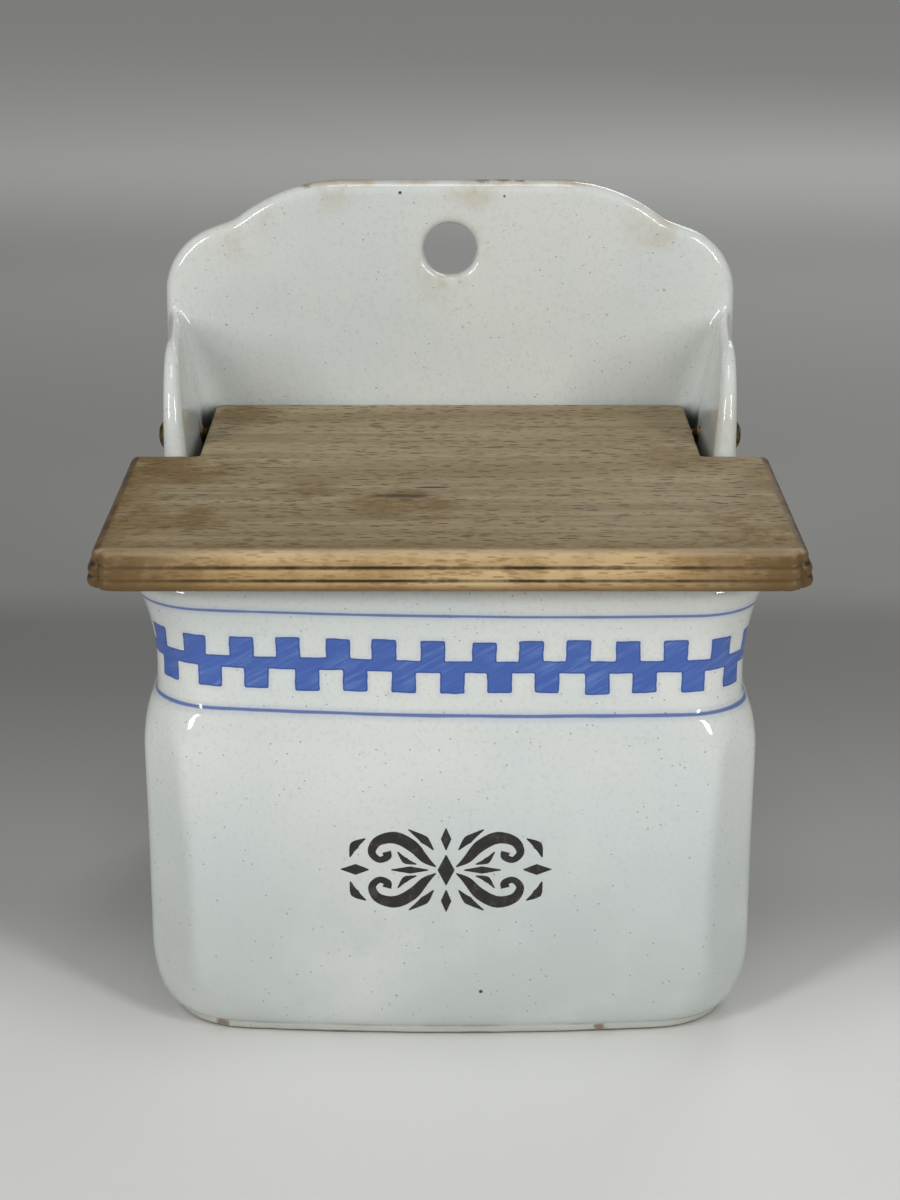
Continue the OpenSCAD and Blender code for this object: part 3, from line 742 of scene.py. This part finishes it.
def beech_finish(s):
    """Old scrubbed beech: dark flecks along the grain, stained edges, dark lines in the moulding's quirks."""
    f = Finish("worn_beech")
    x, y, z = f.split()
    drop = f.math("DIVIDE", f.minus(lid_high[2] * MM, z), MM)
    ax = f.math("ABSOLUTE", x)
    side = f.ramp(ax, (lid_high[0] - MOULD_IN) * MM, (lid_high[0] - MOULD_OUT) * MM)
    front = f.ramp(y, (lid_low[1] + MOULD_IN) * MM, (lid_low[1] + MOULD_OUT) * MM)
    moulding = f.most(side, front)

    # Grain in three sizes, and flecks that wear has scrubbed away in places
    bands = f.grain((2.2, 30.0, 30.0), 3.0, 0.55, 0.5)
    grain = f.grain((9.0, 170.0, 170.0), 5.0, 0.65, 0.3)
    fine = f.grain((24.0, 620.0, 900.0), 3.0, 0.6, 0.2)
    colour = f.mix(f.ramp(bands, 0.36, 0.64), s.pale, (0.330, 0.250, 0.138))
    small = f.stretched(f.object, (300.0, 1000.0, 1700.0), (0.3, 0.7, 0.1))
    dashes = f.most(
        f.spots(f.stretched(f.object, (170.0, 640.0, 1150.0)), 1.0, 0.62, 0.36, 0.7),
        f.times(f.spots(small, 1.0, 0.7, 0.36, 0.65), 0.7),
    )
    shown = f.times(dashes, f.ramp(f.noise(30.0, 3.0, 0.6), 0.25, 0.6, 0.5, 1.0))

    # Brown where hands and damp have been: edges, corners, the wings and some old drips
    cloud = f.noise(48.0, 5.0, 0.7)
    front_edge = f.ramp(y, (lid_low[1] + 16) * MM, (lid_low[1] + 4) * MM)
    brown = f.most(f.times(f.ramp(ax, 0.070, 0.088), 0.95), f.times(front_edge, 0.85), f.blots(BROWN_STAINS))
    brown = f.times(brown, f.ramp(cloud, 0.34, 0.54))

    # Two long dark marks in the middle, and a few dark spots
    narrow = 6.0
    marks = f.stretched(f.object, (1.0, narrow, 1.0))
    dark = f.most(
        f.ramp(f.distance(marks, (-0.0045, -0.0205 * narrow, 0.1371)), 0.0060, 0.003),
        f.times(f.ramp(f.distance(marks, (-0.0125, -0.0285 * narrow, 0.1371)), 0.0120, 0.005), 0.8),
        f.times(f.spots(f.object, 60.0, 0.10, 0.055), 0.8),
    )
    colour = f.layers(
        colour,
        (f.ramp(grain, 0.44, 0.66), 0.5, (0.19, 0.145, 0.085)),
        (f.ramp(fine, 0.46, 0.66), 0.42, (0.215, 0.155, 0.082)),
        (shown, 0.85, s.fleck),
        (brown, 0.95, s.brown),
        (f.times(brown, dashes), 0.5, (0.07, 0.045, 0.02)),
        (dark, f.ramp(cloud, 0.3, 0.55, 0.7, 1.0), (0.035, 0.026, 0.018)),
    )

    # The moulding: golden on its rounds, end grain at the sides, dark lines in its quirks
    golden = f.layers(
        f.mix(f.ramp(grain, 0.40, 0.66), (0.60, 0.435, 0.225), (0.42, 0.275, 0.115)),
        (dashes, 0.55, (0.20, 0.12, 0.045)),
        (f.ramp(cloud, 0.48, 0.66), 0.6, (0.30, 0.18, 0.065)),
    )
    ends = f.ramp(f.grain((60.0, 160.0, 500.0), 4.0, 0.6), 0.35, 0.7)
    quirks = f.math("MINIMUM", *(f.off(drop, quirk) for quirk in QUIRKS))
    # Darker in the quirks between the beads
    quirk_darkening = f.times(f.ramp(quirks, 0.65, 0.1), moulding)

    # Darker low on it and at its corners, rubbed pale along the arris, and one pale scuff
    corner = f.times(front, f.ramp(ax, 0.042, 0.082), f.ramp(cloud, 0.3, 0.52, 0.6, 1.0))
    arris = f.times(f.ramp(drop, 1.5, 0.5), f.ramp(y, (lid_low[1] + 6.2) * MM, (lid_low[1] + 4.6) * MM))
    scuffs = f.spots(f.stretched(f.object, (420.0, 420.0, 120.0)), 1.0, 0.35, 0.4)
    colour = f.layers(
        colour,
        (front, 1.0, golden),
        (side, 1.0, f.mix(ends, (0.16, 0.10, 0.04), (0.07, 0.042, 0.018))),
        (quirk_darkening, f.ramp(cloud, 0.3, 0.6, 0.5, 1.0), (0.03, 0.02, 0.010)),
        (f.times(f.ramp(drop, 7.2, 9.2), moulding), 0.7, (0.15, 0.085, 0.03)),
        (corner, 0.9, (0.12, 0.068, 0.024)),
        (f.times(arris, f.ramp(cloud, 0.3, 0.6, 0.3, 1.0)), 0.4, (0.56, 0.45, 0.30)),
        (f.times(scuffs, f.near(*SCUFF)), 0.85, (0.72, 0.68, 0.60)),
        (f.ramp(drop, 9.2, 9.9), 0.35, (0.22, 0.15, 0.085)),
    )

    relief = f.scaled(dashes, -0.7, f.times(grain, 0.8))
    return f.surfaced({
        "Base Color": colour,
        "Roughness": f.scaled(moulding, -0.16, f.ramp(cloud, 0.3, 0.7, 0.66, 0.54)),
        "Specular IOR Level": 0.25,
        "Normal": f.bump(relief, 0.00012, 0.8),
    })


def brass_finish(s):
    """Brass gone brown, with brighter rubbed spots."""
    f = Finish("tarnished_brass")
    cloud = f.noise(700.0, 5.0, 0.65)
    colour = f.mix(f.ramp(cloud, 0.35, 0.7), s.metal, (0.075, 0.05, 0.028))
    rubbed = f.ramp(f.noise(330.0, 2.0), 0.55, 0.75)
    return f.surfaced({
        "Base Color": f.layers(colour, (rubbed, 0.6, (0.50, 0.35, 0.15))),
        "Metallic": 0.85,
        "Roughness": f.ramp(cloud, 0.3, 0.7, 0.30, 0.58),
        "Normal": f.bump(cloud, 0.00008, 0.6),
    })


def stencil_finish(s):
    """Black stencilled paint, a little thin and brown in places."""
    f = Finish("stencil_black")
    cloud = f.noise(380.0, 4.0, 0.65)
    return f.surfaced({
        "Base Color": f.mix(f.ramp(cloud, 0.45, 0.72), s.black, (0.045, 0.038, 0.032)),
        "Roughness": f.ramp(cloud, 0.3, 0.7, 0.16, 0.30),
        "IOR": GLAZE_IOR,
        "Normal": f.bump(f.noise(420.0, 2.0), 0.00006, 0.6),
    })


# Node trees

# Half a thread's width at its foot, as a share of the pitch
RIDGE_SHARE = 0.28


def thread_tree(material):
    """A tree that winds a thread round a screw's blank, from a place along X to either side."""
    tree = bpy.data.node_groups.new("wood_screw_thread", "GeometryNodeTree")
    face = tree.interface
    face.new_socket("Geometry", in_out="INPUT", socket_type="NodeSocketGeometry")
    for name in ("Pitch", "Turns", "Core Radius", "Depth", "Direction"):
        face.new_socket(name, in_out="INPUT", socket_type="NodeSocketFloat")
    face.new_socket("Place", in_out="INPUT", socket_type="NodeSocketVector")
    face.new_socket("Geometry", in_out="OUTPUT", socket_type="NodeSocketGeometry")
    given = tree.nodes.new("NodeGroupInput").outputs
    pitch, core = given["Pitch"], given["Core Radius"]
    t = Maker(tree)
    helix = t.node("GeometryNodeCurveSpiral", {
        "Resolution": 28,
        "Rotations": given["Turns"],
        "Start Radius": core,
        "End Radius": core,
        "Height": t.times(pitch, given["Turns"]),
    })
    upright = t.node("GeometryNodeSetCurveNormal", {"Curve": helix.outputs["Curve"]}, mode="Z_UP")
    edge = t.times(pitch, RIDGE_SHARE)
    kite = {"Width": t.times(given["Depth"], 2.0), "Bottom Height": edge, "Top Height": edge}
    ridge = t.node("GeometryNodeCurvePrimitiveQuadrilateral", kite, mode="KITE")
    swept = t.node("GeometryNodeCurveToMesh", {
        "Curve": upright.outputs[0],
        "Profile Curve": ridge.outputs["Curve"],
        "Fill Caps": True,
    })
    angle = t.node("ShaderNodeCombineXYZ", {"Y": t.times(given["Direction"], math.pi / 2)})
    turned = t.node("GeometryNodeTransform", {
        "Geometry": swept.outputs["Mesh"],
        "Rotation": angle.outputs[0],
        "Translation": given["Place"],
    })
    both = t.node("GeometryNodeJoinGeometry", {0: turned.outputs["Geometry"]})
    t.put(both.inputs[0], given["Geometry"])
    real = t.node("GeometryNodeRealizeInstances", {"Geometry": both.outputs[0]})
    finish = t.node("GeometryNodeSetMaterial", {"Geometry": real.outputs["Geometry"], "Material": material})
    t.put(tree.nodes.new("NodeGroupOutput").inputs[0], finish.outputs["Geometry"])
    return tree


def fill_in(obj, tree, values):
    """Puts a tree on a piece, sets its named inputs and turns the result into a plain mesh."""
    made = obj.modifiers.new(tree.name, "NODES")
    made.node_group = tree
    for item in tree.interface.items_tree:
        if item.in_out == "INPUT" and item.name in values:
            made[item.identifier] = values[item.name]
    settle(obj)


# Settings

def metres(name, text, default, **more):
    return FloatProperty(name=name, description=text, default=default, unit="LENGTH", precision=5, **more)


def number(name, text, default, least):
    return IntProperty(name=name, description=text, default=default, min=least)


def paint(name, text, default):
    return FloatVectorProperty(name=name, description=text, default=default, subtype="COLOR")


class SaltBoxCasting(bpy.types.PropertyGroup):
    voxel: metres("Skin step", "Step of the fine skin over the casting", 0.00085, min=0.0005)
    rounds: number("Glaze rounds", "How often the skin is relaxed, which rounds its edges", 7, 0)
    triangles: number("Triangles", "Most triangles in the finished casting", 190000, 20000)
    sag: FloatProperty(name="Kiln warp", description="How much the neck rises to the left", default=0.014)
    pitch: metres("Square pitch", "Distance from one painted square to the next", 0.0122)
    square: metres("Square width", "Width of a painted square", 0.0062)
    glaze: paint("Glaze", "Colour of the glaze", (0.74, 0.76, 0.725))
    stain: paint("Stain", "Colour of the warm stains", (0.50, 0.38, 0.20))
    blue: paint("Blue", "Colour of the painted squares", (0.043, 0.110, 0.425))
    blue_light: paint("Light blue", "Colour where the brush left less paint", (0.135, 0.245, 0.56))
    blue_dark: paint("Dark blue", "Colour along the edges of the squares", (0.028, 0.072, 0.29))


class SaltBoxLid(bpy.types.PropertyGroup):
    voxel: metres("Skin step", "Step of the fine skin over the board", 0.0006, min=0.0004)
    rounds: number("Wear rounds", "How often the skin is relaxed, which rounds its edges", 3, 0)
    triangles: number("Triangles", "Most triangles in the finished board", 150000, 20000)
    pale: paint("Pale wood", "Colour of the scrubbed top", (0.425, 0.340, 0.205))
    brown: paint("Brown wood", "Colour of the stained edges", (0.205, 0.128, 0.042))
    fleck: paint("Flecks", "Colour of the short dark flecks in the grain", (0.105, 0.062, 0.026))


class SaltBoxScrews(bpy.types.PropertyGroup):
    head_d: metres("Head", "Diameter of the round head", 0.0091)
    shank_d: metres("Shank", "Diameter of the plain shank", 0.0047)
    core_d: metres("Core", "Diameter between the threads", 0.0031)
    pitch: metres("Pitch", "Distance from one thread to the next", 0.00195)
    metal: paint("Metal", "Colour of the tarnished brass", (0.26, 0.17, 0.07))


class SaltBoxOrnament(bpy.types.PropertyGroup):
    width: metres("Width", "Width of the stencilled spray", 0.054)
    height: metres("Height", "Height of its middle above the surface below", 0.0495)
    black: paint("Black", "Colour of the stencil paint", (0.012, 0.011, 0.011))


class SaltBoxStudio(bpy.types.PropertyGroup):
    away: metres("Camera distance", "Distance of the camera in front of the origin", 0.6999)
    height: metres("Camera height", "Height of the camera", 0.3258)
    pitch: FloatProperty(name="Camera pitch", default=math.radians(17.94), subtype="ANGLE")
    lens: FloatProperty(name="Lens", description="Focal length", default=80.13, unit="CAMERA")
    light: FloatProperty(name="Light", description="Strength of all lamps", default=1.0, min=0.0)


# Pieces

# Heights of the painted wall, and how far round the girth each height keeps its own way, in millimetres
PAINT_LOW, PAINT_HIGH, PAINT_STEP = 84.0, 124.0, 0.5
MID_BORDER, OWN_REACH, OWN_FADE = 102.0, 112, 42
CHUNK = 4000

# The kiln warp: its middle height, its reach up and down, and its gap and fade before the plate
WARP_Z, WARP_REACH, WARP_GAP, WARP_FADE = 98, 26, 12, 40


def mark_paint(obj):
    """Writes two values onto the casting: each point's way round the girth, and whether it is painted wall.

    The way is counted from the middle of the front. It is each height's own there, and turns at the
    sides to the way at the border's middle, so that the squares stand upright all round.
    """
    co = coordinates(obj.data)
    girth = np.zeros(len(co), np.float32)
    painted = np.zeros(len(co), np.float32)

    def rounds_of(ring):
        runs = np.linalg.norm(np.roll(ring, -1, 0) - ring, axis=1)
        along = np.concatenate(([0], np.cumsum(runs)))
        middle = int(np.argmin(np.abs(ring[:, 0]) + np.where(ring[:, 1] < 0, 0, 1e3)))
        return runs, along - along[middle]

    gauge = rounds_of(outer_ring(MID_BORDER)[:, :2])[1]
    own = np.clip((OWN_REACH - np.abs(gauge)) / OWN_FADE, 0, 1)
    for low in np.arange(PAINT_LOW, PAINT_HIGH, PAINT_STEP):
        in_step = (co[:, 2] >= low) & (co[:, 2] < low + PAINT_STEP)
        picked = np.where(in_step & (co[:, 1] < PLATE_Y + 1))[0]
        if not len(picked):
            continue
        ring = outer_ring(low + PAINT_STEP / 2)[:, :2]
        step = np.roll(ring, -1, 0) - ring
        runs, along = rounds_of(ring)
        along = gauge + own * (along - gauge)
        size = runs ** 2 + 1e-12
        for chunk in np.array_split(picked, max(1, len(picked) // CHUNK)):
            p = co[chunk, :2][:, None, :]
            t = np.clip(((p - ring[None]) * step[None]).sum(2) / size[None], 0, 1)
            gap = np.linalg.norm(ring[None] + t[..., None] * step[None] - p, axis=2)
            best = gap.argmin(1)
            rows = np.arange(len(chunk))
            girth[chunk] = along[best] + t[rows, best] * (along[best + 1] - along[best])
            painted[chunk] = (gap[rows, best] < WALL * 0.4) & (ring[best, 1] < PLATE_Y)
    for name, values in (("girth", girth), ("painted", painted)):
        layer = obj.data.attributes.new(name, "FLOAT", "POINT")
        layer.data.foreach_set("value", values)


class SALTBOX_OT_casting(bpy.types.Operator):
    """Make the glazed casting: box, back plate and ears in one"""
    bl_idname = "saltbox.casting"
    bl_label = "Ceramic casting"

    def execute(self, context):
        s = context.scene.saltbox_casting
        plate = loft("plate", plate_rings())
        cut(plate, lathe("hole", hole_profile(), (0, PLATE_Y, HOLE_Z), "Y"))
        ears = []
        for side in (1, -1):
            ear = loft("ear", [ring * [side, 1, 1] for ring in ear_rings()])
            place = (side * BELLY_W / 2, hinge[1], hinge[2])
            cut(ear, lathe("bore", [(BORE_R, -20), (BORE_R, 20)], place, "X", 32))
            ears.append(ear)
        casting = loft("ceramic_casting", shell_rings())
        join(casting, [plate] + ears)

        def sag(mesh):
            """The neck stands a little higher at the left, as it came from the kiln."""
            co = coordinates(mesh)
            bell = np.clip(1 - np.abs(co[:, 2] - WARP_Z) / WARP_REACH, 0, 1)
            bell = bell * bell * (3 - 2 * bell) * (co[:, 1] < PLATE_Y - WARP_GAP)
            fade = np.clip((PLATE_Y - WARP_GAP - co[:, 1]) / WARP_FADE, 0, 1)
            co[:, 2] -= s.sag * co[:, 0] * bell * fade
            place_points(mesh, co)

        worn_smooth(casting, s.voxel / MM, s.rounds, s.triangles, sag)
        mark_paint(casting)
        dress(casting, glaze_finish(s))
        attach(casting, "ceramic")
        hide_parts("ceramic_box")
        return {"FINISHED"}


# The round of the lid's front corners, seen from above
LID_CORNER = 7.0


class SALTBOX_OT_lid(bpy.types.Operator):
    """Make the beech lid from its solid, with worn edges"""
    bl_idname = "saltbox.lid"
    bl_label = "Beech lid"

    def execute(self, context):
        s = context.scene.saltbox_lid
        board = bpy.data.objects.new("beech_lid", frame["nodes"]["lid"].data.copy())
        context.scene.collection.objects.link(board)
        outward(board)

        def knock(mesh):
            """Rounds the two front corners, then presses in small knocks and waves."""
            co = coordinates(mesh)
            u = np.maximum(0, np.abs(co[:, 0]) - (lid_high[0] - LID_CORNER))
            v = np.maximum(0, lid_low[1] + LID_CORNER - co[:, 1])
            shrink = np.maximum(u, v) / np.maximum(1e-9, np.hypot(u, v))
            shrink = np.where((u > 0) & (v > 0), shrink, 1.0)
            co[:, 0] -= np.sign(co[:, 0]) * u * (1 - shrink)
            co[:, 1] += v * (1 - shrink)
            place_points(mesh, co)
            mesh.update()
            depth = []
            for p in co:
                nick = max(0.0, noise.noise(Vector(p * 0.55) + Vector((7, 3, 1))) - 0.32)
                depth.append(0.05 + 0.05 * noise.noise(Vector(p * 0.16)) + 0.35 * nick)
            place_points(mesh, co - read(mesh.vertex_normals, "vector") * np.array(depth)[:, None])

        worn_smooth(board, s.voxel / MM, s.rounds, s.triangles, knock)
        dress(board, beech_finish(s))
        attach(board, "lid")
        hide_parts("lid")
        return {"FINISHED"}


# The screws in millimetres from under the head: head, dome, and where the body's forms end
HEAD_H, DOME_H = 3.0, 2.95
TIP, POINT, THREAD_END, CORE_TOP, THREAD_TOP, SHANK_END = -31.9, -29.5, -26.8, -10.4, -10.2, -9.8
TURNS = 9.0
SLOTS = ((1, "right", math.radians(25)), (-1, "left", math.radians(130)))


def slot_cutter(under, side, angle):
    """A bar across a screw's head, turned about the screw's line."""
    bar = [(x, y, z) for x in (1.7, 4.5) for y in (-6, 6) for z in (-0.55, 0.55)]
    faces = [(0, 1, 3, 2), (4, 6, 7, 5), (0, 4, 5, 1), (2, 3, 7, 6), (0, 2, 6, 4), (1, 5, 7, 3)]
    slot = mesh_object("slot", bar, faces)
    for v in slot.data.vertices:
        y, z = v.co.y, v.co.z
        v.co.y = y * math.cos(angle) - z * math.sin(angle) + hinge[1] * MM
        v.co.z = y * math.sin(angle) + z * math.cos(angle) + hinge[2] * MM
        v.co.x = side * (v.co.x + under * MM)
    outward(slot)
    return slot


class SALTBOX_OT_screws(bpy.types.Operator):
    """Make the two round-head wood screws that the lid turns on"""
    bl_idname = "saltbox.screws"
    bl_label = "Hinge screws"

    def execute(self, context):
        s = context.scene.saltbox_screws
        head_r, shank_r, core_r = s.head_d / MM / 2, s.shank_d / MM / 2, s.core_d / MM / 2
        metal = brass_finish(s)
        tree = thread_tree(metal)
        body = [
            (0.15, TIP), (core_r * 0.55, POINT), (core_r, THREAD_END), (core_r, CORE_TOP),
            (shank_r, SHANK_END), (shank_r, -0.25), (shank_r + 0.2, 0.0), (head_r, 0.0),
        ]
        dome = steps(0.12, math.pi / 2 - 0.02, 10)
        body += [(head_r * math.cos(a) ** 0.8, DOME_H * math.sin(a)) for a in dome]
        for side, name, angle in SLOTS:
            low, high = (np.array(v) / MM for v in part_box("hinge_screw_" + name))
            under = (high[0] if side > 0 else -low[0]) - HEAD_H
            profile = [(r, side * x) for r, x in body]
            place = (side * under, hinge[1], hinge[2])
            screw = lathe("wood_screw_" + name, profile, place, "X", 48)
            cut(screw, slot_cutter(under, side, angle))
            fill_in(screw, tree, {
                "Pitch": s.pitch,
                "Turns": TURNS,
                "Core Radius": s.core_d / 2,
                "Depth": (s.shank_d - s.core_d) / 2 - 0.00005,
                "Direction": -1.0 * side,
                "Place": (side * (under + THREAD_TOP) * MM, hinge[1] * MM, hinge[2] * MM),
            })
            for p in screw.data.polygons:
                p.use_smooth = False
            dress(screw, metal)
            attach(screw, "lid")
            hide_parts("hinge_screw_" + name)
        return {"FINISHED"}


def stroke(knots, widths, count=40):
    """A brush stroke of the stencil as a strip: a smooth path through its knots, with a swelling width."""
    knots = np.array(knots, float)
    ends = np.vstack((2 * knots[0] - knots[1], knots, 2 * knots[-1] - knots[-2]))
    at = steps(0, len(knots) - 1, count)
    i = np.minimum(at.astype(int), len(knots) - 2)
    t = (at - i)[:, None]
    a, b, c, d = ends[i], ends[i + 1], ends[i + 2], ends[i + 3]
    square, cube = 2 * a - 5 * b + 4 * c - d, 3 * b - a - 3 * c + d
    spine = 0.5 * (2 * b + (c - a) * t + square * t ** 2 + cube * t ** 3)
    slope = np.gradient(spine, axis=0)
    slope = slope / np.linalg.norm(slope, axis=1)[:, None]
    across = np.column_stack((-slope[:, 1], slope[:, 0]))
    swell = np.interp(at, range(len(widths)), widths)[:, None] / 2 * across
    return spine + swell, spine - swell


# Strokes of the spray for a half width of 27 mm: knots, then widths. Each is mirrored to the other sides
SPRAY_HALF = 27
DIAMOND = (((0, 4.2), (0, 0), (0, -4.2)), (0.2, 4.4, 0.2))
UPRIGHT = (((0, 5.6), (0, 8.6), (0, 11.6)), (0.3, 2.7, 0.2))
SCROLL = (
    ((2.6, 0.9), (5.4, 3.0), (8.6, 6.6), (13.0, 8.9), (17.4, 7.9), (19.0, 4.9), (17.2, 2.8), (15.0, 3.6),
     (15.2, 5.0)),
    (0.3, 2.2, 3.2, 3.3, 2.6, 2.0, 1.7, 1.9, 2.3),
)
LEAVES = (
    SCROLL,
    (((3.2, 5.6), (5.6, 8.4), (9.6, 11.2)), (0.3, 2.3, 0.3)),
    (((20.6, 8.6), (23.4, 6.6), (24.6, 3.4)), (0.3, 2.4, 0.3)),
    (((7.6, 1.6), (10.4, 2.6), (12.4, 5.0)), (0.3, 1.7, 0.3)),
)
TIPS = (
    (((4.6, 0), (9.2, 0), (14.0, 0)), (0.3, 2.0, 0.3)),
    (((19.8, 0), (23.2, 0), (27.0, 0)), (0.3, 3.0, 0.2)),
)
SPRAY_X, PAINT_OUT, PAINT_IN = -1.0, -0.05, 0.3


class SALTBOX_OT_ornament(bpy.types.Operator):
    """Lay a stencilled spray of leaves on the front of the belly"""
    bl_idname = "saltbox.ornament"
    bl_label = "Stencilled spray"

    def execute(self, context):
        s = context.scene.saltbox_ornament
        wall = surface_of(bpy.data.objects["ceramic_casting"].data)
        k = s.width / MM / 2 / SPRAY_HALF
        strips = []

        def lay(side, up, knots, widths):
            strips.append(stroke([(side * x, up * z) for x, z in knots], widths))

        lay(1, 1, *DIAMOND)
        for up in (1, -1):
            lay(1, up, *UPRIGHT)
            for side in (1, -1):
                for leaf in LEAVES:
                    lay(side * k, up * k, *leaf)
        for side in (1, -1):
            for tip in TIPS:
                lay(side * k, k, *tip)
        points, faces = [], []
        for upper, lower in strips:
            base = len(points)
            n = len(upper)
            for depth in (PAINT_OUT, PAINT_IN):
                for x, z in np.vstack((upper, lower)):
                    at = Vector(((x + SPRAY_X) * MM, -0.2, z * MM + s.height))
                    hit = wall.ray_cast(at, Vector((0, 1, 0)))[0]
                    points.append((hit.x / MM, hit.y / MM + depth, hit.z / MM))
            back = base + 2 * n
            for i in range(n - 1):
                faces.append((base + i, base + i + 1, base + n + i + 1, base + n + i))
                faces.append((back + i, back + n + i, back + n + i + 1, back + i + 1))
                faces.append((base + i, back + i, back + i + 1, base + i + 1))
                faces.append((base + n + i, base + n + i + 1, back + n + i + 1, back + n + i))
        spray = mesh_object("stencilled_spray", points, faces)
        outward(spray)
        spray.data.materials.append(stencil_finish(s))
        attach(spray, "ceramic")
        return {"FINISHED"}


# The floor's tone by its distance from the object, with light and shade painted in: painted shade far in
# front, where the lamps light it most, pale just in front of the object, painted shade round and behind it,
# and lighter again far behind. Start and end of each step in metres, and its shade
FLOOR_FAR_FRONT_SHADE = (0.36, 0.36, 0.35)
FLOOR_LIGHT_AND_SHADE = (
    (-0.65, -0.20, (0.82, 0.82, 0.80)),
    (-0.08, 0.03, (0.42, 0.42, 0.405)),
    (0.03, 0.25, (0.26, 0.26, 0.249)),
    (0.27, 0.33, (0.35, 0.35, 0.338)),
    (0.50, 1.00, (0.50, 0.50, 0.485)),
    (1.00, 1.50, (0.90, 0.90, 0.88)),
)
FLOOR_HALF = 9000

# Lamps: name, place, aim, size and power
LAMPS = (
    ("left", (-0.90, -1.05, 0.75), (0, 0, 0.08), (0.20, 0.9), 9.4),
    ("right", (0.90, -1.05, 0.75), (0, 0, 0.08), (0.20, 0.9), 9.0),
    ("back", (0.5, 1.3, 1.0), (0, 0, 0.1), (0.6, 0.6), 3.0),
    ("top", (0.0, -0.20, 1.6), (0, 0, 0.1), (0.5, 0.5), 2.5),
)


class SALTBOX_OT_studio(bpy.types.Operator):
    """Set up the floor, the lamps and the camera"""
    bl_idname = "saltbox.studio"
    bl_label = "Studio"

    def execute(self, context):
        s = context.scene.saltbox_studio
        corners = [(FLOOR_HALF * x, FLOOR_HALF * y, 0) for x, y in ((-1, -1), (1, -1), (1, 1), (-1, 1))]
        floor = mesh_object("floor", corners, [(0, 1, 2, 3)])
        # The floor's colour has light and shade painted in, stepping with y
        f = Finish("floor_with_painted_shade")
        y = f.split()[1]
        tone = FLOOR_FAR_FRONT_SHADE
        for low, high, shade in FLOOR_LIGHT_AND_SHADE:
            tone = f.mix(f.ramp(y, low, high), tone, shade)
        dress(floor, f.surfaced({"Base Color": tone, "Roughness": 0.6}))

        world = bpy.data.worlds.new("studio")
        world.use_nodes = True
        sky = world.node_tree.nodes["Background"].inputs
        sky["Color"].default_value = (0.80, 0.81, 0.80, 1)
        sky["Strength"].default_value = 0.25
        context.scene.world = world

        for name, place, aim, size, power in LAMPS:
            light = bpy.data.lights.new(name, "AREA")
            light.shape = "RECTANGLE"
            light.size, light.size_y = size
            light.energy = power * s.light
            lamp = bpy.data.objects.new(name, light)
            context.scene.collection.objects.link(lamp)
            lamp.location = place
            lamp.rotation_euler = (Vector(aim) - Vector(place)).to_track_quat("-Z", "Y").to_euler()

        camera = bpy.data.objects.new("camera", bpy.data.cameras.new("camera"))
        context.scene.collection.objects.link(camera)
        camera.location = (0.0, -s.away, s.height)
        camera.rotation_euler = (math.pi / 2 - s.pitch, 0, 0)
        camera.data.lens = s.lens
        camera.data.sensor_width = 36
        camera.data.clip_start = 0.01
        context.scene.camera = camera
        context.scene.view_settings.view_transform = "Standard"
        return {"FINISHED"}


class SALTBOX_PT_panel(bpy.types.Panel):
    """The salt box's pieces and their settings"""
    bl_idname = "SALTBOX_PT_panel"
    bl_label = "Salt box"
    bl_space_type = "VIEW_3D"
    bl_region_type = "UI"
    bl_category = "Salt box"

    def draw(self, context):
        for group in GROUPS:
            box = self.layout.box()
            box.operator(group.replace("_", "."))
            settings = getattr(context.scene, group)
            for name in settings.__annotations__:
                box.prop(settings, name)


# Each group of settings goes with the operator of the same name
GROUPS = {
    "saltbox_casting": SaltBoxCasting,
    "saltbox_lid": SaltBoxLid,
    "saltbox_ornament": SaltBoxOrnament,
    "saltbox_screws": SaltBoxScrews,
    "saltbox_studio": SaltBoxStudio,
}
CLASSES = (
    *GROUPS.values(), SALTBOX_OT_casting, SALTBOX_OT_ornament, SALTBOX_OT_lid,
    SALTBOX_OT_screws, SALTBOX_OT_studio, SALTBOX_PT_panel,
)


def register():
    for cls in CLASSES:
        bpy.utils.register_class(cls)
    for name, group in GROUPS.items():
        setattr(bpy.types.Scene, name, PointerProperty(type=group))


def unregister():
    for name in GROUPS:
        delattr(bpy.types.Scene, name)
    for cls in reversed(CLASSES):
        bpy.utils.unregister_class(cls)


def main():
    register()
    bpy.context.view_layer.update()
    bpy.ops.saltbox.casting()
    bpy.ops.saltbox.ornament()
    bpy.ops.saltbox.lid()
    bpy.ops.saltbox.screws()
    bpy.ops.saltbox.studio()


if __name__ == "__main__":
    main()
